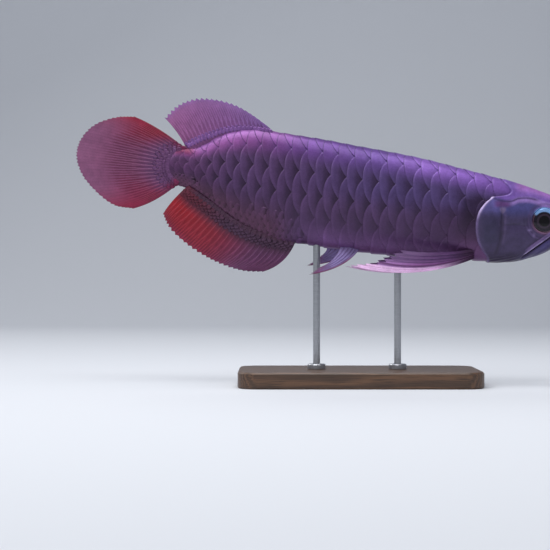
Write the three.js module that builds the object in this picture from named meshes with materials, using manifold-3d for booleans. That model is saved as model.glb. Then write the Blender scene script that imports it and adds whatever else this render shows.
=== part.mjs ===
// Asian arowana, a still life-size museum model on a plain display stand.
// Millimetres, +Z up, +X towards the snout, +Y to the fish's left, the floor at z = 0.
// Every station along the fish is measured forward from the tip of the tail.
import * as THREE from "three";
import { mergeVertices } from "three/addons/utils/BufferGeometryUtils.js";
import Module from "manifold-3d";

const wasm = await Module();
wasm.setup();

// Driving sizes
const MIDDLE = 263.4; // station of the part's origin, half way from tail tip to barbel tips
const GAP = 0.3; // clearance between neighbouring pieces
const FLESH_END = 87.4; // station where the flesh ends inside the tail fin
const FLESH_ROUND = 19; // length of the rounded end of the flesh
const SNOUT = 501.8; // station of the chin's tip, the foremost point of the flesh
const SNOUT_HIGH = 165; // height of that point
const SNOUT_ROUND = 7; // length over which the snout rounds off in side view
const MUZZLE_ROUND = 17; // length over which it rounds off in plan view
const VENT = 223.5; // station of the cut between trunk and tail
const BODY_RINGS = 38; // sections along the body
const BODY_SIDES = 20; // points around a section
const RING_EVEN = 0.55; // share of even spacing between sections, the rest draws them to both ends
const RING_INSET = 0.002; // distance of the outermost sections from the ends, as a share of the length
const PLATE = 3; // thickness of the bony plates on the side of the head
const EYE = { s: 465.7, z: 164, radius: 12.5, y: 16.9, dome: 2.8, depth: 8.6 };
const FIN_ROOT = 2.4; // thickness of a fin where it leaves the body
const FIN_EDGE = 0.6; // and at its free edge
const FIN_THINS_TO = 0.7; // share of a ray's length where a fin has come down to that
const BARBEL = { root: [496.5, 5.2, 160.5], knee: [513.5, 6.7, 162], tip: [526.2, 9.5, 170.5], thick: 1.5, thin: 0.5 };
const BASE = { s: 283, length: 240, width: 120, height: 16, corner: 18, bevel: 1.5 };
const ROD_RADIUS = 3.5;
const ROD_SIDES = 16;
const ROD_DEPTH = 9; // how far a rod goes up into its socket
const COLLAR = { radius: 9, height: 5, bevel: 1 };
const RODS = { front: 322, rear: 241 };

// Stations and heights of the back and the belly, and the widths between
const BACK = [
  [80, 238], [106, 237.6], [118, 237.2], [128, 240.6], [143, 249], [156, 253.4], [171, 255.8],
  [187, 256], [204, 253.2], [224, 250], [250, 245.8], [280, 240], [324, 231.8], [354, 225.3],
  [384, 217.4], [414, 209.6], [444, 200.7], [474, 190], [485, 185.6], [495, 180.4], [503, 175.5],
];
const BELLY = [
  [80, 200], [106, 198.2], [116, 193.5], [126, 187], [141, 174.5], [160, 161], [171, 154.6],
  [189, 146.8], [210, 141.6], [222, 141], [250, 136.5], [284, 132], [320, 128], [354, 125.5],
  [394, 124], [418, 122.3], [434, 123], [444, 124.6], [454, 127.3], [464, 130.4], [474, 135.2],
  [484, 142], [494, 149.6], [503, 156.5],
];
const HALF_WIDTH = [
  [80, 2.8], [106, 6], [140, 9.6], [186, 14], [227, 18], [284, 22], [344, 24], [394, 23.6],
  [417, 22.4], [445, 20.2], [466, 18.3], [485, 16.6], [503, 15],
];
const WIDEST_AT = [[80, 0.5], [140, 0.55], [227, 0.6], [344, 0.58], [410, 0.54], [470, 0.5], [503, 0.48]];
const BACK_POWER = [[80, 2], [140, 2.2], [344, 2.4], [410, 2.8], [470, 3.2], [503, 2.6]];
const BELLY_POWER = [[80, 2], [140, 2], [344, 1.9], [410, 2.1], [450, 2.5], [503, 2.6]];

// Lines drawn on the side of the head, as stations and heights
const GILL_EDGE = [
  [408.5, 222], [410, 208.5], [413.2, 187.8], [406.3, 180.9], [399.9, 172.1], [397, 159.3],
  [398.9, 144.5], [403.9, 134.6], [409.5, 126.8], [411, 112],
];
const COVER_TOP = 187; // the gill cover runs along the gill edge between these heights
const COVER_LOW = 127.6;
const COVER_FRONT = [[412.8, 187.2], [422.5, 186], [421.8, 159.3], [422, 139.6], [417.6, 128.6], [409.8, 127.2]];
const CHEEK = [
  [425.3, 180.1], [432, 182.2], [441, 184.4], [449.5, 181], [450.6, 170], [450.6, 158], [454.5, 149],
  [449, 143.5], [440.5, 139], [425.3, 136.2], [424.6, 158],
];
const MOUTH = [[438.5, 127.9], [455.3, 137.8], [472.2, 148.7], [485.1, 157.6], [497, 165.1], [506, 169.5]];
const JAW_BACK = [435.5, 112];
const UPPER_JAW = [441, 484, 5.2]; // from station, to station, greatest height

// Smooth curve through a list of [station, value] pairs, with the slope at each pair taken
// from its two neighbours.
function through(pairs) {
  const slope = pairs.map((_, i) => {
    const a = pairs[Math.max(0, i - 1)];
    const b = pairs[Math.min(pairs.length - 1, i + 1)];
    return (b[1] - a[1]) / (b[0] - a[0]);
  });
  return (s) => {
    let i = 0;
    while (i < pairs.length - 2 && s > pairs[i + 1][0]) i++;
    const [s0, v0] = pairs[i];
    const [s1, v1] = pairs[i + 1];
    const step = s1 - s0;
    const t = THREE.MathUtils.clamp((s - s0) / step, 0, 1);
    const t2 = t * t;
    const t3 = t2 * t;
    return (
      v0 * (2 * t3 - 3 * t2 + 1) + v1 * (3 * t2 - 2 * t3) +
      step * (slope[i] * (t3 - 2 * t2 + t) + slope[i + 1] * (t3 - t2))
    );
  };
}
const back = through(BACK);
const belly = through(BELLY);
const halfWidth = through(HALF_WIDTH);
const widestAt = through(WIDEST_AT);
const backPower = through(BACK_POWER);
const bellyPower = through(BELLY_POWER);
const mouthLine = through(MOUTH);

// Quarter-ellipse fall from 1 to 0 over the last `length` before `end`.
function roundOff(toEnd, length) {
  const u = THREE.MathUtils.clamp(1 - toEnd / length, 0, 1);
  return Math.sqrt(1 - u * u);
}

// A closed surface from rings of points that all have the same count, each end drawn
// together in one point.
function ringSolid(rings, first, last) {
  const n = rings[0].length;
  const points = [first, ...rings.flat(), last];
  const faces = [];
  for (let k = 0; k < n; k++) {
    const next = (k + 1) % n;
    faces.push(0, 1 + next, 1 + k);
    for (let r = 0; r + 1 < rings.length; r++) {
      const a = 1 + r * n;
      const b = a + n;
      faces.push(a + k, a + next, b + k, a + next, b + next, b + k);
    }
    const top = 1 + (rings.length - 1) * n;
    faces.push(top + k, top + next, points.length - 1);
  }
  return new THREE.BufferGeometry()
    .setAttribute("position", new THREE.Float32BufferAttribute(points.flat(), 3))
    .setIndex(faces);
}

// The whole fish's flesh as one closed surface, grown outward by `grow`. Each section is a
// superellipse whose upper and lower halves have their own height and power.
function flesh(grow) {
  const start = FLESH_END - grow;
  const end = SNOUT + grow;
  const ring = (share) => {
    // Sections stand closer together towards both ends, where the outline rounds off.
    const eased = THREE.MathUtils.lerp(0.5 - 0.5 * Math.cos(Math.PI * share), share, RING_EVEN);
    const s = THREE.MathUtils.lerp(start, end, RING_INSET + (1 - 2 * RING_INSET) * eased);
    const tall = roundOff(s - start, FLESH_ROUND) * roundOff(end - s, SNOUT_ROUND);
    const wide = roundOff(s - start, FLESH_ROUND) * roundOff(end - s, MUZZLE_ROUND);
    const top = back(s) + grow;
    const low = belly(s) - grow;
    const toSnout = THREE.MathUtils.smoothstep(s, SNOUT - 3 * SNOUT_ROUND, SNOUT);
    const middle = THREE.MathUtils.lerp(low + widestAt(s) * (top - low), SNOUT_HIGH, toSnout);
    const points = [];
    for (let k = 0; k < BODY_SIDES; k++) {
      const turn = (2 * Math.PI * k) / BODY_SIDES;
      const across = Math.cos(turn);
      const up = Math.sin(turn);
      const power = 2 / (up > 0 ? backPower(s) : bellyPower(s));
      points.push([
        s - MIDDLE,
        (halfWidth(s) + grow) * wide * Math.sign(across) * Math.abs(across) ** power,
        middle + tall * Math.sign(up) * Math.abs(up) ** power * (up > 0 ? top - middle : middle - low),
      ]);
    }
    return points;
  };
  const rings = Array.from({ length: BODY_RINGS }, (_, i) => ring(i / (BODY_RINGS - 1)));
  const tailMiddle = 0.5 * (back(start) + belly(start));
  return ringSolid(rings, [start - MIDDLE, 0, tailMiddle], [end - MIDDLE, 0, SNOUT_HIGH]);
}

// Between a closed three.js surface and a solid that can be joined and cut
function solid(geometry) {
  const bare = geometry.clone();
  for (const name of Object.keys(bare.attributes)) if (name !== "position") bare.deleteAttribute(name);
  const merged = mergeVertices(bare, 1e-3);
  return new wasm.Manifold(
    new wasm.Mesh({
      numProp: 3,
      vertProperties: new Float32Array(merged.attributes.position.array),
      triVerts: new Uint32Array(merged.index.array),
    }),
  );
}
function surface(made) {
  const mesh = made.getMesh();
  const positions = new Float32Array(mesh.numVert * 3);
  for (let i = 0; i < mesh.numVert; i++) {
    const from = i * mesh.numProp;
    positions.set(mesh.vertProperties.subarray(from, from + 3), i * 3);
  }
  const geometry = new THREE.BufferGeometry()
    .setAttribute("position", new THREE.BufferAttribute(positions, 3))
    .setIndex(new THREE.BufferAttribute(mesh.triVerts, 1));
  geometry.computeVertexNormals();
  return geometry;
}

// A side-view outline of [station, height] points pushed straight across the fish.
const ACROSS = 160;
function prism(outline, centre = 0) {
  const shape = new THREE.Shape(outline.map(([s, z]) => new THREE.Vector2(s - MIDDLE, z)));
  const block = new THREE.ExtrudeGeometry(shape, { depth: ACROSS, bevelEnabled: false });
  block.translate(0, 0, -ACROSS / 2);
  block.rotateX(Math.PI / 2);
  block.translate(0, centre, 0);
  return solid(block);
}

// Rounded line through a few points, and an outline moved outward by a distance.
function smooth(points, count) {
  const curve = new THREE.SplineCurve(points.map(([s, z]) => new THREE.Vector2(s, z)));
  return curve.getPoints(count).map((p) => [p.x, p.y]);
}
function grown(outline, by) {
  const n = outline.length;
  const area = outline.reduce((sum, [s, z], i) => {
    const [s1, z1] = outline[(i + 1) % n];
    return sum + s * z1 - s1 * z;
  }, 0);
  const outward = ([sa, za], [sb, zb]) => {
    const long = Math.sign(area) * Math.hypot(sb - sa, zb - za);
    return [(zb - za) / long, -(sb - sa) / long];
  };
  return outline.map((p, i) => {
    const [ns, nz] = outward(outline[(i + n - 1) % n], p);
    const [ms, mz] = outward(p, outline[(i + 1) % n]);
    const mitre = by / Math.max(0.2, 1 + ns * ms + nz * mz);
    return [p[0] + mitre * (ns + ms), p[1] + mitre * (nz + mz)];
  });
}

const whole = solid(flesh(0));
const wholeGrown = solid(flesh(GAP));
const underPlates = solid(flesh(-PLATE));
const underPlatesClear = solid(flesh(-PLATE - GAP));

// The head is parted from the trunk along the edge of the gill covers, and the trunk from
// the tail at the vent.
const AHEAD = 560; // the cutting outlines reach past the fish to this station
const ABOVE = 290; // and to these heights
const BELOW = 100;
const EDGE_STEPS = 20;
const gillEdge = smooth(GILL_EDGE, EDGE_STEPS);
const gillTop = GILL_EDGE[0];
const gillLow = GILL_EDGE[GILL_EDGE.length - 1];
const moved = (line, by) => line.map(([s, z]) => [s + by, z]);
const headRegion = prism([...moved(gillEdge, GAP / 2), [AHEAD, gillLow[1]], [AHEAD, gillTop[1]]]);
const trunkRegion = prism([
  ...moved(gillEdge, -GAP / 2), [VENT, gillLow[1]], [VENT, ABOVE], [gillTop[0] - GAP, ABOVE],
]);
const tailRegion = prism([[0, BELOW], [VENT - GAP, BELOW], [VENT - GAP, ABOVE], [0, ABOVE]]);

const MOUTH_STEPS = 12;
const [mouthCorner, mouthEnd] = [MOUTH[0], MOUTH[MOUTH.length - 1]];
const mouth = Array.from({ length: MOUTH_STEPS + 1 }, (_, i) => {
  const s = THREE.MathUtils.lerp(mouthCorner[0], mouthEnd[0], i / MOUTH_STEPS);
  return [s, mouthLine(s)];
});
const jawOutline = [...mouth, [AHEAD, mouthEnd[1]], [AHEAD, BELOW], [JAW_BACK[0], BELOW], JAW_BACK];
const jawRegion = prism(grown(jawOutline, -GAP / 2));
const jawClear = prism(grown(jawOutline, GAP / 2));

// Bony plates of the side of the head: pieces of the flesh's own outer layer.
const coverOutline = [
  ...gillEdge.filter(([, z]) => z < COVER_TOP && z > COVER_LOW),
  ...smooth([...COVER_FRONT].reverse(), EDGE_STEPS * 0.6).slice(1, -1),
];
const cheekOutline = smooth([...CHEEK, CHEEK[0]], EDGE_STEPS).slice(0, -1);
const [lipFrom, lipTo, lipHigh] = UPPER_JAW;
const LIP_STEPS = 10;
const LIP_FULLNESS = 0.35; // low powers make the lip's plate blunt at both ends
const lipShare = Array.from({ length: LIP_STEPS + 1 }, (_, i) => i / LIP_STEPS);
const lipOutline = [
  ...lipShare.map((t) => lipFrom + t * (lipTo - lipFrom)).map((s) => [s, mouthLine(s) + GAP]),
  ...lipShare.slice(1, -1).reverse().map((t) => {
    const s = lipFrom + t * (lipTo - lipFrom);
    return [s, mouthLine(s) + GAP + lipHigh * (1 - (2 * t - 1) ** 2) ** LIP_FULLNESS];
  }),
];
function plate(outline, side) {
  const piece = whole.intersect(prism(outline, (side * ACROSS) / 2)).subtract(underPlates);
  return largest(piece.subtract(eyeBody(GAP, side)));
}
function plateBed(outline) {
  return prism(grown(outline, GAP)).subtract(underPlatesClear);
}

// Eyeball: a low clear dome in front and a deeper bowl behind, turned about its own axis.
const EYE_STEPS = 6;
const EYE_SIDES = 18;
function eyeProfile(grow) {
  return Array.from({ length: EYE_STEPS + 1 }, (_, i) => {
    const turn = -Math.PI / 2 + (Math.PI * i) / EYE_STEPS;
    const reach = (Math.sin(turn) > 0 ? EYE.dome : EYE.depth) + grow;
    const radius = i === 0 || i === EYE_STEPS ? 0 : (EYE.radius + grow) * Math.cos(turn);
    return new THREE.Vector2(radius, reach * Math.sin(turn));
  });
}
function eyeBody(grow, side) {
  const ball = new THREE.LatheGeometry(eyeProfile(grow), EYE_SIDES);
  if (side < 0) ball.rotateX(Math.PI); // the dome faces the fish's right
  ball.translate(EYE.s - MIDDLE, side * EYE.y, EYE.z);
  return solid(ball);
}

// Fins: a thin closed sheet along its rays. The root line and the tip line are curves from
// the first ray to the last; the edge is notched between neighbouring rays, and the rays
// bend half way out, from the first ray's `bow` to the last one's. Both faces stand off the
// middle sheet along its own normal.
const NUDGE = 0.01; // share of a fin's span over which its slope is taken
function fin({ root, tip, bow, rays, notch, rows }) {
  const rootLine = new THREE.CatmullRomCurve3(root.map((p) => new THREE.Vector3(...p)));
  const tipLine = new THREE.CatmullRomCurve3(tip.map((p) => new THREE.Vector3(...p)));
  const [firstBend, lastBend] = bow.map((b) => new THREE.Vector3(...b));
  const rayAt = (u) => tipLine.getPoint(u).sub(rootLine.getPoint(u));
  const middle = (u, along) =>
    rootLine
      .getPoint(u)
      .addScaledVector(rayAt(u), along)
      .addScaledVector(firstBend.clone().lerp(lastBend, u), 4 * along * (1 - along));
  const normal = (u, along) => {
    const [before, after] = [Math.max(0, u - NUDGE), Math.min(1, u + NUDGE)];
    const sideways = middle(after, along).sub(middle(before, along));
    const outward = middle(u, along + NUDGE).sub(middle(u, along - NUDGE));
    return sideways.cross(outward).normalize();
  };
  const columns = 2 * (rays - 1);
  const sheet = (side) => {
    const points = [];
    for (let i = 0; i <= columns; i++) {
      const u = i / columns;
      const long = i % 2 ? 1 - notch / rayAt(u).length() : 1;
      for (let j = 0; j <= rows; j++) {
        const along = (j / rows) * long;
        const thick = THREE.MathUtils.lerp(FIN_ROOT, FIN_EDGE, Math.min(1, along / FIN_THINS_TO));
        const p = middle(u, along).addScaledVector(normal(u, along), (side * thick) / 2);
        points.push([p.x - MIDDLE, p.y, p.z]);
      }
    }
    return points;
  };
  const points = [...sheet(1), ...sheet(-1)];
  const half = points.length / 2;
  const at = (i, j) => i * (rows + 1) + j;
  const faces = [];
  const quad = (a, b, c, d) => faces.push(a, b, c, a, c, d);
  for (let i = 0; i < columns; i++) {
    for (let j = 0; j < rows; j++) {
      quad(at(i, j), at(i + 1, j), at(i + 1, j + 1), at(i, j + 1));
      quad(half + at(i, j), half + at(i, j + 1), half + at(i + 1, j + 1), half + at(i + 1, j));
    }
    quad(at(i, 0), half + at(i, 0), half + at(i + 1, 0), at(i + 1, 0));
    quad(at(i, rows), at(i + 1, rows), half + at(i + 1, rows), half + at(i, rows));
  }
  for (let j = 0; j < rows; j++) {
    quad(at(0, j), at(0, j + 1), half + at(0, j + 1), half + at(0, j));
    quad(at(columns, j), half + at(columns, j), half + at(columns, j + 1), at(columns, j + 1));
  }
  const made = solid(
    new THREE.BufferGeometry()
      .setAttribute("position", new THREE.Float32BufferAttribute(points.flat(), 3))
      .setIndex(faces),
  );
  return largest(made.subtract(wholeGrown));
}
function largest(made) {
  return made.decompose().reduce((a, b) => (b.volume() > a.volume() ? b : a));
}
const flat = (pairs) => pairs.map(([s, z]) => [s, 0, z]);

const dorsalFin = fin({
  root: flat([[192, 250.5], [170, 251.5], [150, 247], [132, 238.5], [113, 231.5]]),
  tip: flat([[182, 269], [171, 276.4], [151, 284], [132, 286.8], [115.5, 285.8], [101.7, 280], [88.7, 267.5]]),
  bow: [[3, 0, 2.5], [0, 0, 0]], rays: 19, notch: 2.2, rows: 2,
});
const analFin = fin({
  root: flat([[216, 146], [188, 151.5], [160, 165.5], [136, 183.5], [112.5, 199.5]]),
  tip: flat([[186, 113], [166.4, 114], [146.4, 120], [128.4, 128.7], [109.4, 141.5], [93, 157.5], [87.2, 170.5]]),
  bow: [[4, 0, -5], [-3, 0, -1]], rays: 26, notch: 2.4, rows: 2,
});
const caudalFin = fin({
  root: flat([[111, 235.5], [99, 231], [94.5, 219], [98, 208], [105, 203.5]]),
  tip: flat([
    [58, 268.8], [40, 268], [17, 259.5], [3.5, 244.5], [0.2, 229.5], [5, 212], [18, 195], [38, 179.8], [57, 176.3],
  ]),
  bow: [[0, 0, 3], [0, 0, -4]], rays: 22, notch: 2, rows: 2,
});

const PECTORAL = {
  root: [[398, -5.5, 126.8], [397.5, -10, 131], [396, -13.5, 136]],
  tip: [
    [272, -56, 119.2], [280.6, -54, 120.6], [296, -50, 121.8], [306.5, -44, 125.8], [313, -38, 129.5], [322, -31, 134.4],
  ],
};
const PELVIC_RIGHT = {
  root: [[283.5, -5, 135.5], [268, -5.5, 138], [250, -4.5, 140.5]],
  tip: [[233, -24, 110.4], [235, -21.5, 114.5], [238, -18, 120], [242, -13.5, 127]],
};
const PELVIC_LEFT_DROP = 0.62; // the left one hangs down by this share of the right one
const PELVIC_LEFT_SPREAD = 7; // and stands out this much further
const mirrored = (points) => points.map(([s, y, z]) => [s, -y, z]);
function pectoral({ root, tip }, side) {
  const bow = [[0, 8 * side, -10.5], [0, 5 * side, -3]];
  return fin({ root, tip, bow, rays: 8, notch: 1.6, rows: 5 });
}
function pelvic({ root, tip }, side) {
  const bow = [[5, side * 2, -4], [2, side, -2]];
  return fin({ root, tip, bow, rays: 7, notch: 1.2, rows: 4 });
}
const pelvicLeft = {
  root: mirrored(PELVIC_RIGHT.root),
  tip: mirrored(PELVIC_RIGHT.tip).map(([s, y, z]) => [
    s, y + PELVIC_LEFT_SPREAD, THREE.MathUtils.lerp(PELVIC_RIGHT.root[2][2], z, PELVIC_LEFT_DROP),
  ]),
};

// Chin barbels: tapering feelers with round sections square to their own curve
function barbel(side) {
  const [root, knee, tip] = [BARBEL.root, BARBEL.knee, BARBEL.tip].map(
    ([s, y, z]) => new THREE.Vector3(s - MIDDLE, side * y, z),
  );
  const spine = new THREE.QuadraticBezierCurve3(root, knee, tip);
  const steps = 8;
  const sides = 8;
  const level = new THREE.Vector3(0, 1, 0);
  const rings = Array.from({ length: steps + 1 }, (_, i) => {
    const middle = spine.getPoint(i / steps);
    const ahead = spine.getTangent(i / steps);
    const upward = new THREE.Vector3().crossVectors(ahead, level).normalize();
    const sideways = new THREE.Vector3().crossVectors(upward, ahead).normalize();
    const radius = THREE.MathUtils.lerp(BARBEL.thick, BARBEL.thin, i / steps);
    return Array.from({ length: sides }, (_, k) => {
      const turn = (2 * Math.PI * k) / sides;
      return middle
        .clone()
        .addScaledVector(sideways, radius * Math.cos(turn))
        .addScaledVector(upward, radius * Math.sin(turn))
        .toArray();
    });
  });
  const first = spine.getPoint(0).toArray();
  const last = spine.getPoint(1).addScaledVector(spine.getTangent(1), BARBEL.thin).toArray();
  return largest(solid(ringSolid(rings, first, last)).subtract(wholeGrown));
}

// Display stand
function rod(s) {
  const bottom = BASE.height + GAP;
  const top = belly(s) + ROD_DEPTH;
  const bar = new THREE.CylinderGeometry(ROD_RADIUS, ROD_RADIUS, top - bottom, ROD_SIDES);
  bar.rotateX(Math.PI / 2);
  bar.translate(s - MIDDLE, 0, (top + bottom) / 2);
  return bar;
}
function socket(s) {
  const low = belly(s) - ROD_DEPTH;
  const high = belly(s) + ROD_DEPTH + GAP;
  const hole = new THREE.CylinderGeometry(ROD_RADIUS + GAP, ROD_RADIUS + GAP, high - low, ROD_SIDES);
  hole.rotateX(Math.PI / 2);
  hole.translate(s - MIDDLE, 0, (low + high) / 2);
  return solid(hole);
}
function collar(s) {
  const inner = ROD_RADIUS + GAP;
  const { radius, height, bevel } = COLLAR;
  const profile = [
    [inner, 0], [radius, 0], [radius, height - bevel], [radius - bevel, height], [inner, height], [inner, 0],
  ].map(([r, h]) => new THREE.Vector2(r, h));
  const ring = new THREE.LatheGeometry(profile, ROD_SIDES);
  ring.rotateX(Math.PI / 2);
  ring.translate(s - MIDDLE, 0, BASE.height + GAP);
  return ring;
}
function base() {
  const { length, width, height, corner, bevel } = BASE;
  const [a, b] = [length / 2 - bevel, width / 2 - bevel];
  const shape = new THREE.Shape();
  shape.moveTo(-a + corner, -b);
  shape.lineTo(a - corner, -b);
  shape.absarc(a - corner, -b + corner, corner, -Math.PI / 2, 0);
  shape.lineTo(a, b - corner);
  shape.absarc(a - corner, b - corner, corner, 0, Math.PI / 2);
  shape.lineTo(-a + corner, b);
  shape.absarc(-a + corner, b - corner, corner, Math.PI / 2, Math.PI);
  shape.lineTo(-a, -b + corner);
  shape.absarc(-a + corner, -b + corner, corner, Math.PI, 1.5 * Math.PI);
  const block = new THREE.ExtrudeGeometry(shape, {
    depth: height - 2 * bevel,
    bevelThickness: bevel,
    bevelSize: bevel,
    bevelSegments: 1,
    curveSegments: 4,
  });
  block.translate(BASE.s - MIDDLE, 0, bevel);
  return block;
}

// Colours and finishes
const finish = (color, roughness, metalness = 0) => ({ color, roughness, metalness });
const BACK_SKIN = finish("#5c4280", 0.35, 0.15);
const HEAD_SKIN = finish("#574a86", 0.3, 0.1);
const COVER_SKIN = finish("#40345c", 0.25, 0.25);
const JAW_SKIN = finish("#50406e", 0.3);
const TAIL_SKIN = finish("#4e3350", 0.35, 0.15);
const EYE_DARK = finish("#140c1c", 0.08);
const FIN_RED = finish("#743048", 0.4);
const FIN_VIOLET = finish("#7b5289", 0.4);
const FIN_ROSE = finish("#9a74b4", 0.35);
const WALNUT = finish("#3a2a22", 0.45);
const STEEL = finish("#a9abb0", 0.3, 1);

const fish = new THREE.Group();
fish.name = "asian_arowana";
function add(name, geometry, look, group = fish) {
  const mesh = new THREE.Mesh(geometry, new THREE.MeshStandardMaterial(look));
  mesh.name = name;
  group.add(mesh);
}

const headBlock = whole.intersect(headRegion);
let head = headBlock.subtract(jawClear);
for (const outline of [coverOutline, cheekOutline, lipOutline]) head = head.subtract(plateBed(outline));
for (const side of [-1, 1]) head = head.subtract(eyeBody(GAP, side));
let trunk = whole.intersect(trunkRegion);
for (const s of Object.values(RODS)) trunk = trunk.subtract(socket(s));

add("head", surface(largest(head)), HEAD_SKIN);
add("lower_jaw", surface(largest(headBlock.intersect(jawRegion))), JAW_SKIN);
add("trunk", surface(largest(trunk)), BACK_SKIN);
add("tail", surface(largest(whole.intersect(tailRegion))), TAIL_SKIN);
add("dorsal_fin", surface(dorsalFin), FIN_VIOLET);
add("anal_fin", surface(analFin), FIN_RED);
add("caudal_fin", surface(caudalFin), FIN_RED);
for (const [name, side] of [["right", -1], ["left", 1]]) {
  add(`gill_cover_${name}`, surface(plate(coverOutline, side)), COVER_SKIN);
  add(`cheek_plate_${name}`, surface(plate(cheekOutline, side)), COVER_SKIN);
  add(`upper_jaw_${name}`, surface(plate(lipOutline, side)), JAW_SKIN);
  add(`eye_${name}`, surface(eyeBody(0, side)), EYE_DARK);
  add(`barbel_${name}`, surface(barbel(side)), JAW_SKIN);
}
add("pectoral_fin_right", surface(pectoral(PECTORAL, -1)), FIN_ROSE);
add("pectoral_fin_left", surface(pectoral({ root: mirrored(PECTORAL.root), tip: mirrored(PECTORAL.tip) }, 1)), FIN_ROSE);
add("pelvic_fin_right", surface(pelvic(PELVIC_RIGHT, -1)), FIN_ROSE);
add("pelvic_fin_left", surface(pelvic(pelvicLeft, 1)), FIN_ROSE);

const stand = new THREE.Group();
stand.name = "display_stand";
fish.add(stand);
add("stand_base", base(), WALNUT, stand);
for (const [name, s] of Object.entries(RODS)) {
  add(`stand_rod_${name}`, rod(s), STEEL, stand);
  add(`stand_collar_${name}`, collar(s), STEEL, stand);
}

export default fish;
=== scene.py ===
"""Asian arowana, a still life-size museum model on a plain stand.

One skin has plates of scale over it; the fins, eyes and barbels are pieces of their own.
Lengths are millimetres until a mesh is made. A station is the distance along the fish from the tip of its
tail, height is above the floor, and sideways is towards the fish's left.
"""

import bpy
import numpy as np
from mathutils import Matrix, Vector


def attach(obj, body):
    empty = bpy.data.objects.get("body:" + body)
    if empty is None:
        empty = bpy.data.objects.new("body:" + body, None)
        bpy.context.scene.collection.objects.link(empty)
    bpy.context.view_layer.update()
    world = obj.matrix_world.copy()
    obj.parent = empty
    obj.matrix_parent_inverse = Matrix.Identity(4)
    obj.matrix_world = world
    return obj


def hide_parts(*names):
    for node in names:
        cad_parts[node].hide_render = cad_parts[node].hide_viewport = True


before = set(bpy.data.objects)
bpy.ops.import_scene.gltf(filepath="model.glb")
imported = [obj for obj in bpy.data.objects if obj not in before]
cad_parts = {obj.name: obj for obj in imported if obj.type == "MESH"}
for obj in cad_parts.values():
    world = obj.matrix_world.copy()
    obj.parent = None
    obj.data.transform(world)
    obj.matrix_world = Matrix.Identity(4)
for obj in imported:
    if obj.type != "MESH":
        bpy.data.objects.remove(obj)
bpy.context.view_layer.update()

RANDOM = np.random.default_rng(11)
MM = 0.001

# The fish's own shape, as stations and heights
MIDDLE = 263.4
FLESH_END = 87.4
FLESH_ROUND = 19
SNOUT = 501.8
SNOUT_HIGH = 165
SNOUT_ROUND = 7
MUZZLE_ROUND = 17
MUZZLE = 21
BACK = [
    (80, 238), (106, 237.6), (118, 237.2), (128, 240.6), (143, 249), (156, 253.4), (171, 255.8), (187, 256),
    (204, 253.2), (224, 250), (250, 245.8), (280, 240), (324, 231.8), (354, 225.3), (384, 217.4),
    (414, 209.6), (444, 200.7), (474, 190), (485, 185.6), (495, 180.4), (503, 175.5),
]
BELLY = [
    (80, 200), (106, 198.2), (116, 193.5), (126, 187), (141, 174.5), (160, 161), (171, 154.6), (189, 146.8),
    (210, 141.6), (222, 141), (250, 136.5), (284, 132), (320, 128), (354, 125.5), (394, 124), (418, 122.3),
    (434, 123), (444, 124.6), (454, 127.3), (464, 130.4), (474, 135.2), (484, 142), (494, 149.6),
    (503, 156.5),
]
HALF_WIDTH = [
    (80, 2.8), (106, 6), (140, 9.6), (186, 14), (227, 18), (284, 22), (344, 24), (394, 23.6), (417, 22.4),
    (445, 20.2), (466, 18.3), (485, 16.6), (503, 15),
]
WIDEST_AT = [(80, 0.5), (140, 0.55), (227, 0.6), (344, 0.58), (410, 0.54), (470, 0.5), (503, 0.48)]
BACK_POWER = [(80, 2), (140, 2.2), (344, 2.4), (410, 2.8), (470, 3.2), (503, 2.6)]
BELLY_POWER = [(80, 2), (140, 2), (344, 1.9), (410, 2.1), (450, 2.5), (503, 2.6)]

# The head's lines, as stations and heights seen from the side
GILL_EDGE = [
    (408.5, 222), (410, 208.5), (413.2, 187.8), (406.3, 180.9), (399.9, 172.1), (397, 159.3), (398.9, 144.5),
    (403.9, 134.6), (409.5, 126.8), (411, 112),
]
GILL_TOP = 187.8
GROOVE = [
    (421.2, 190), (422.4, 184), (423.4, 172), (423, 160), (422.4, 148), (420.4, 138), (416, 128), (411, 120),
]
MOUTH = [(436, 121.5), (446, 128.7), (455.3, 135.4), (472.2, 147.4), (485.1, 156.8), (497, 164.6), (506, 169)]
ROOF = [
    (414, 186), (421, 183.4), (427.6, 182.1), (433.6, 182.8), (440, 185.3), (450, 185.6), (457, 184.2),
    (464, 181.6), (472, 179.6), (482, 178.6),
]
NAPE = [
    (187, 413), (188, 421), (189.5, 429), (192.6, 433), (197, 431.5), (202, 427.5), (206, 427), (212, 429),
]
EYE = {"s": 465.7, "z": 164, "y": 16.9, "radius": 12.5, "dome": 2.8, "depth": 8.6}
PUPIL = (465.3, 163.1)
PUPIL_RADIUS = 5.2
BARBEL = {"root": (496.5, 5.2, 160.5), "knee": (513.5, 6.7, 162), "tip": (526.2, 9.5, 170.5)}
BARBEL_THICK = (1.5, 0.5)
# Each nostril's station, height and radius
NOSTRILS = ((492.6, 173.8, 1.0), (484.6, 177.2, 1.2))
# Steps round the girth in the table of the body
GIRTH_STEPS = 360

# The coat of scales
COAT = 1.9
SCALE_ROWS = 11
SCALE_LENGTH = [
    (80, 7.2), (100, 9.2), (120, 11.4), (150, 13.6), (190, 14.9), (240, 15.4), (300, 16.1), (340, 17.1),
    (380, 17.7), (440, 17.8),
]
LARGEST_SCALE = 17.8
# The lowest rows end where the small scales along the anal fin begin
ROW_ENDS = {4: 128, 5: 214, 6: 214, 7: 128}

# The camera, which stands level
CAMERA_STATION = 199.4
CAMERA_HEIGHT = 110
CAMERA_AWAY = 1500
PICTURE_WIDE = 550
SENSOR = 36.0


def linear(code):
    """An sRGB hex colour as linear red, green and blue."""
    value = np.array([int(code[i : i + 2], 16) for i in (1, 3, 5)]) / 255
    return np.where(value <= 0.04045, value / 12.92, ((value + 0.055) / 1.055) ** 2.4)


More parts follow.
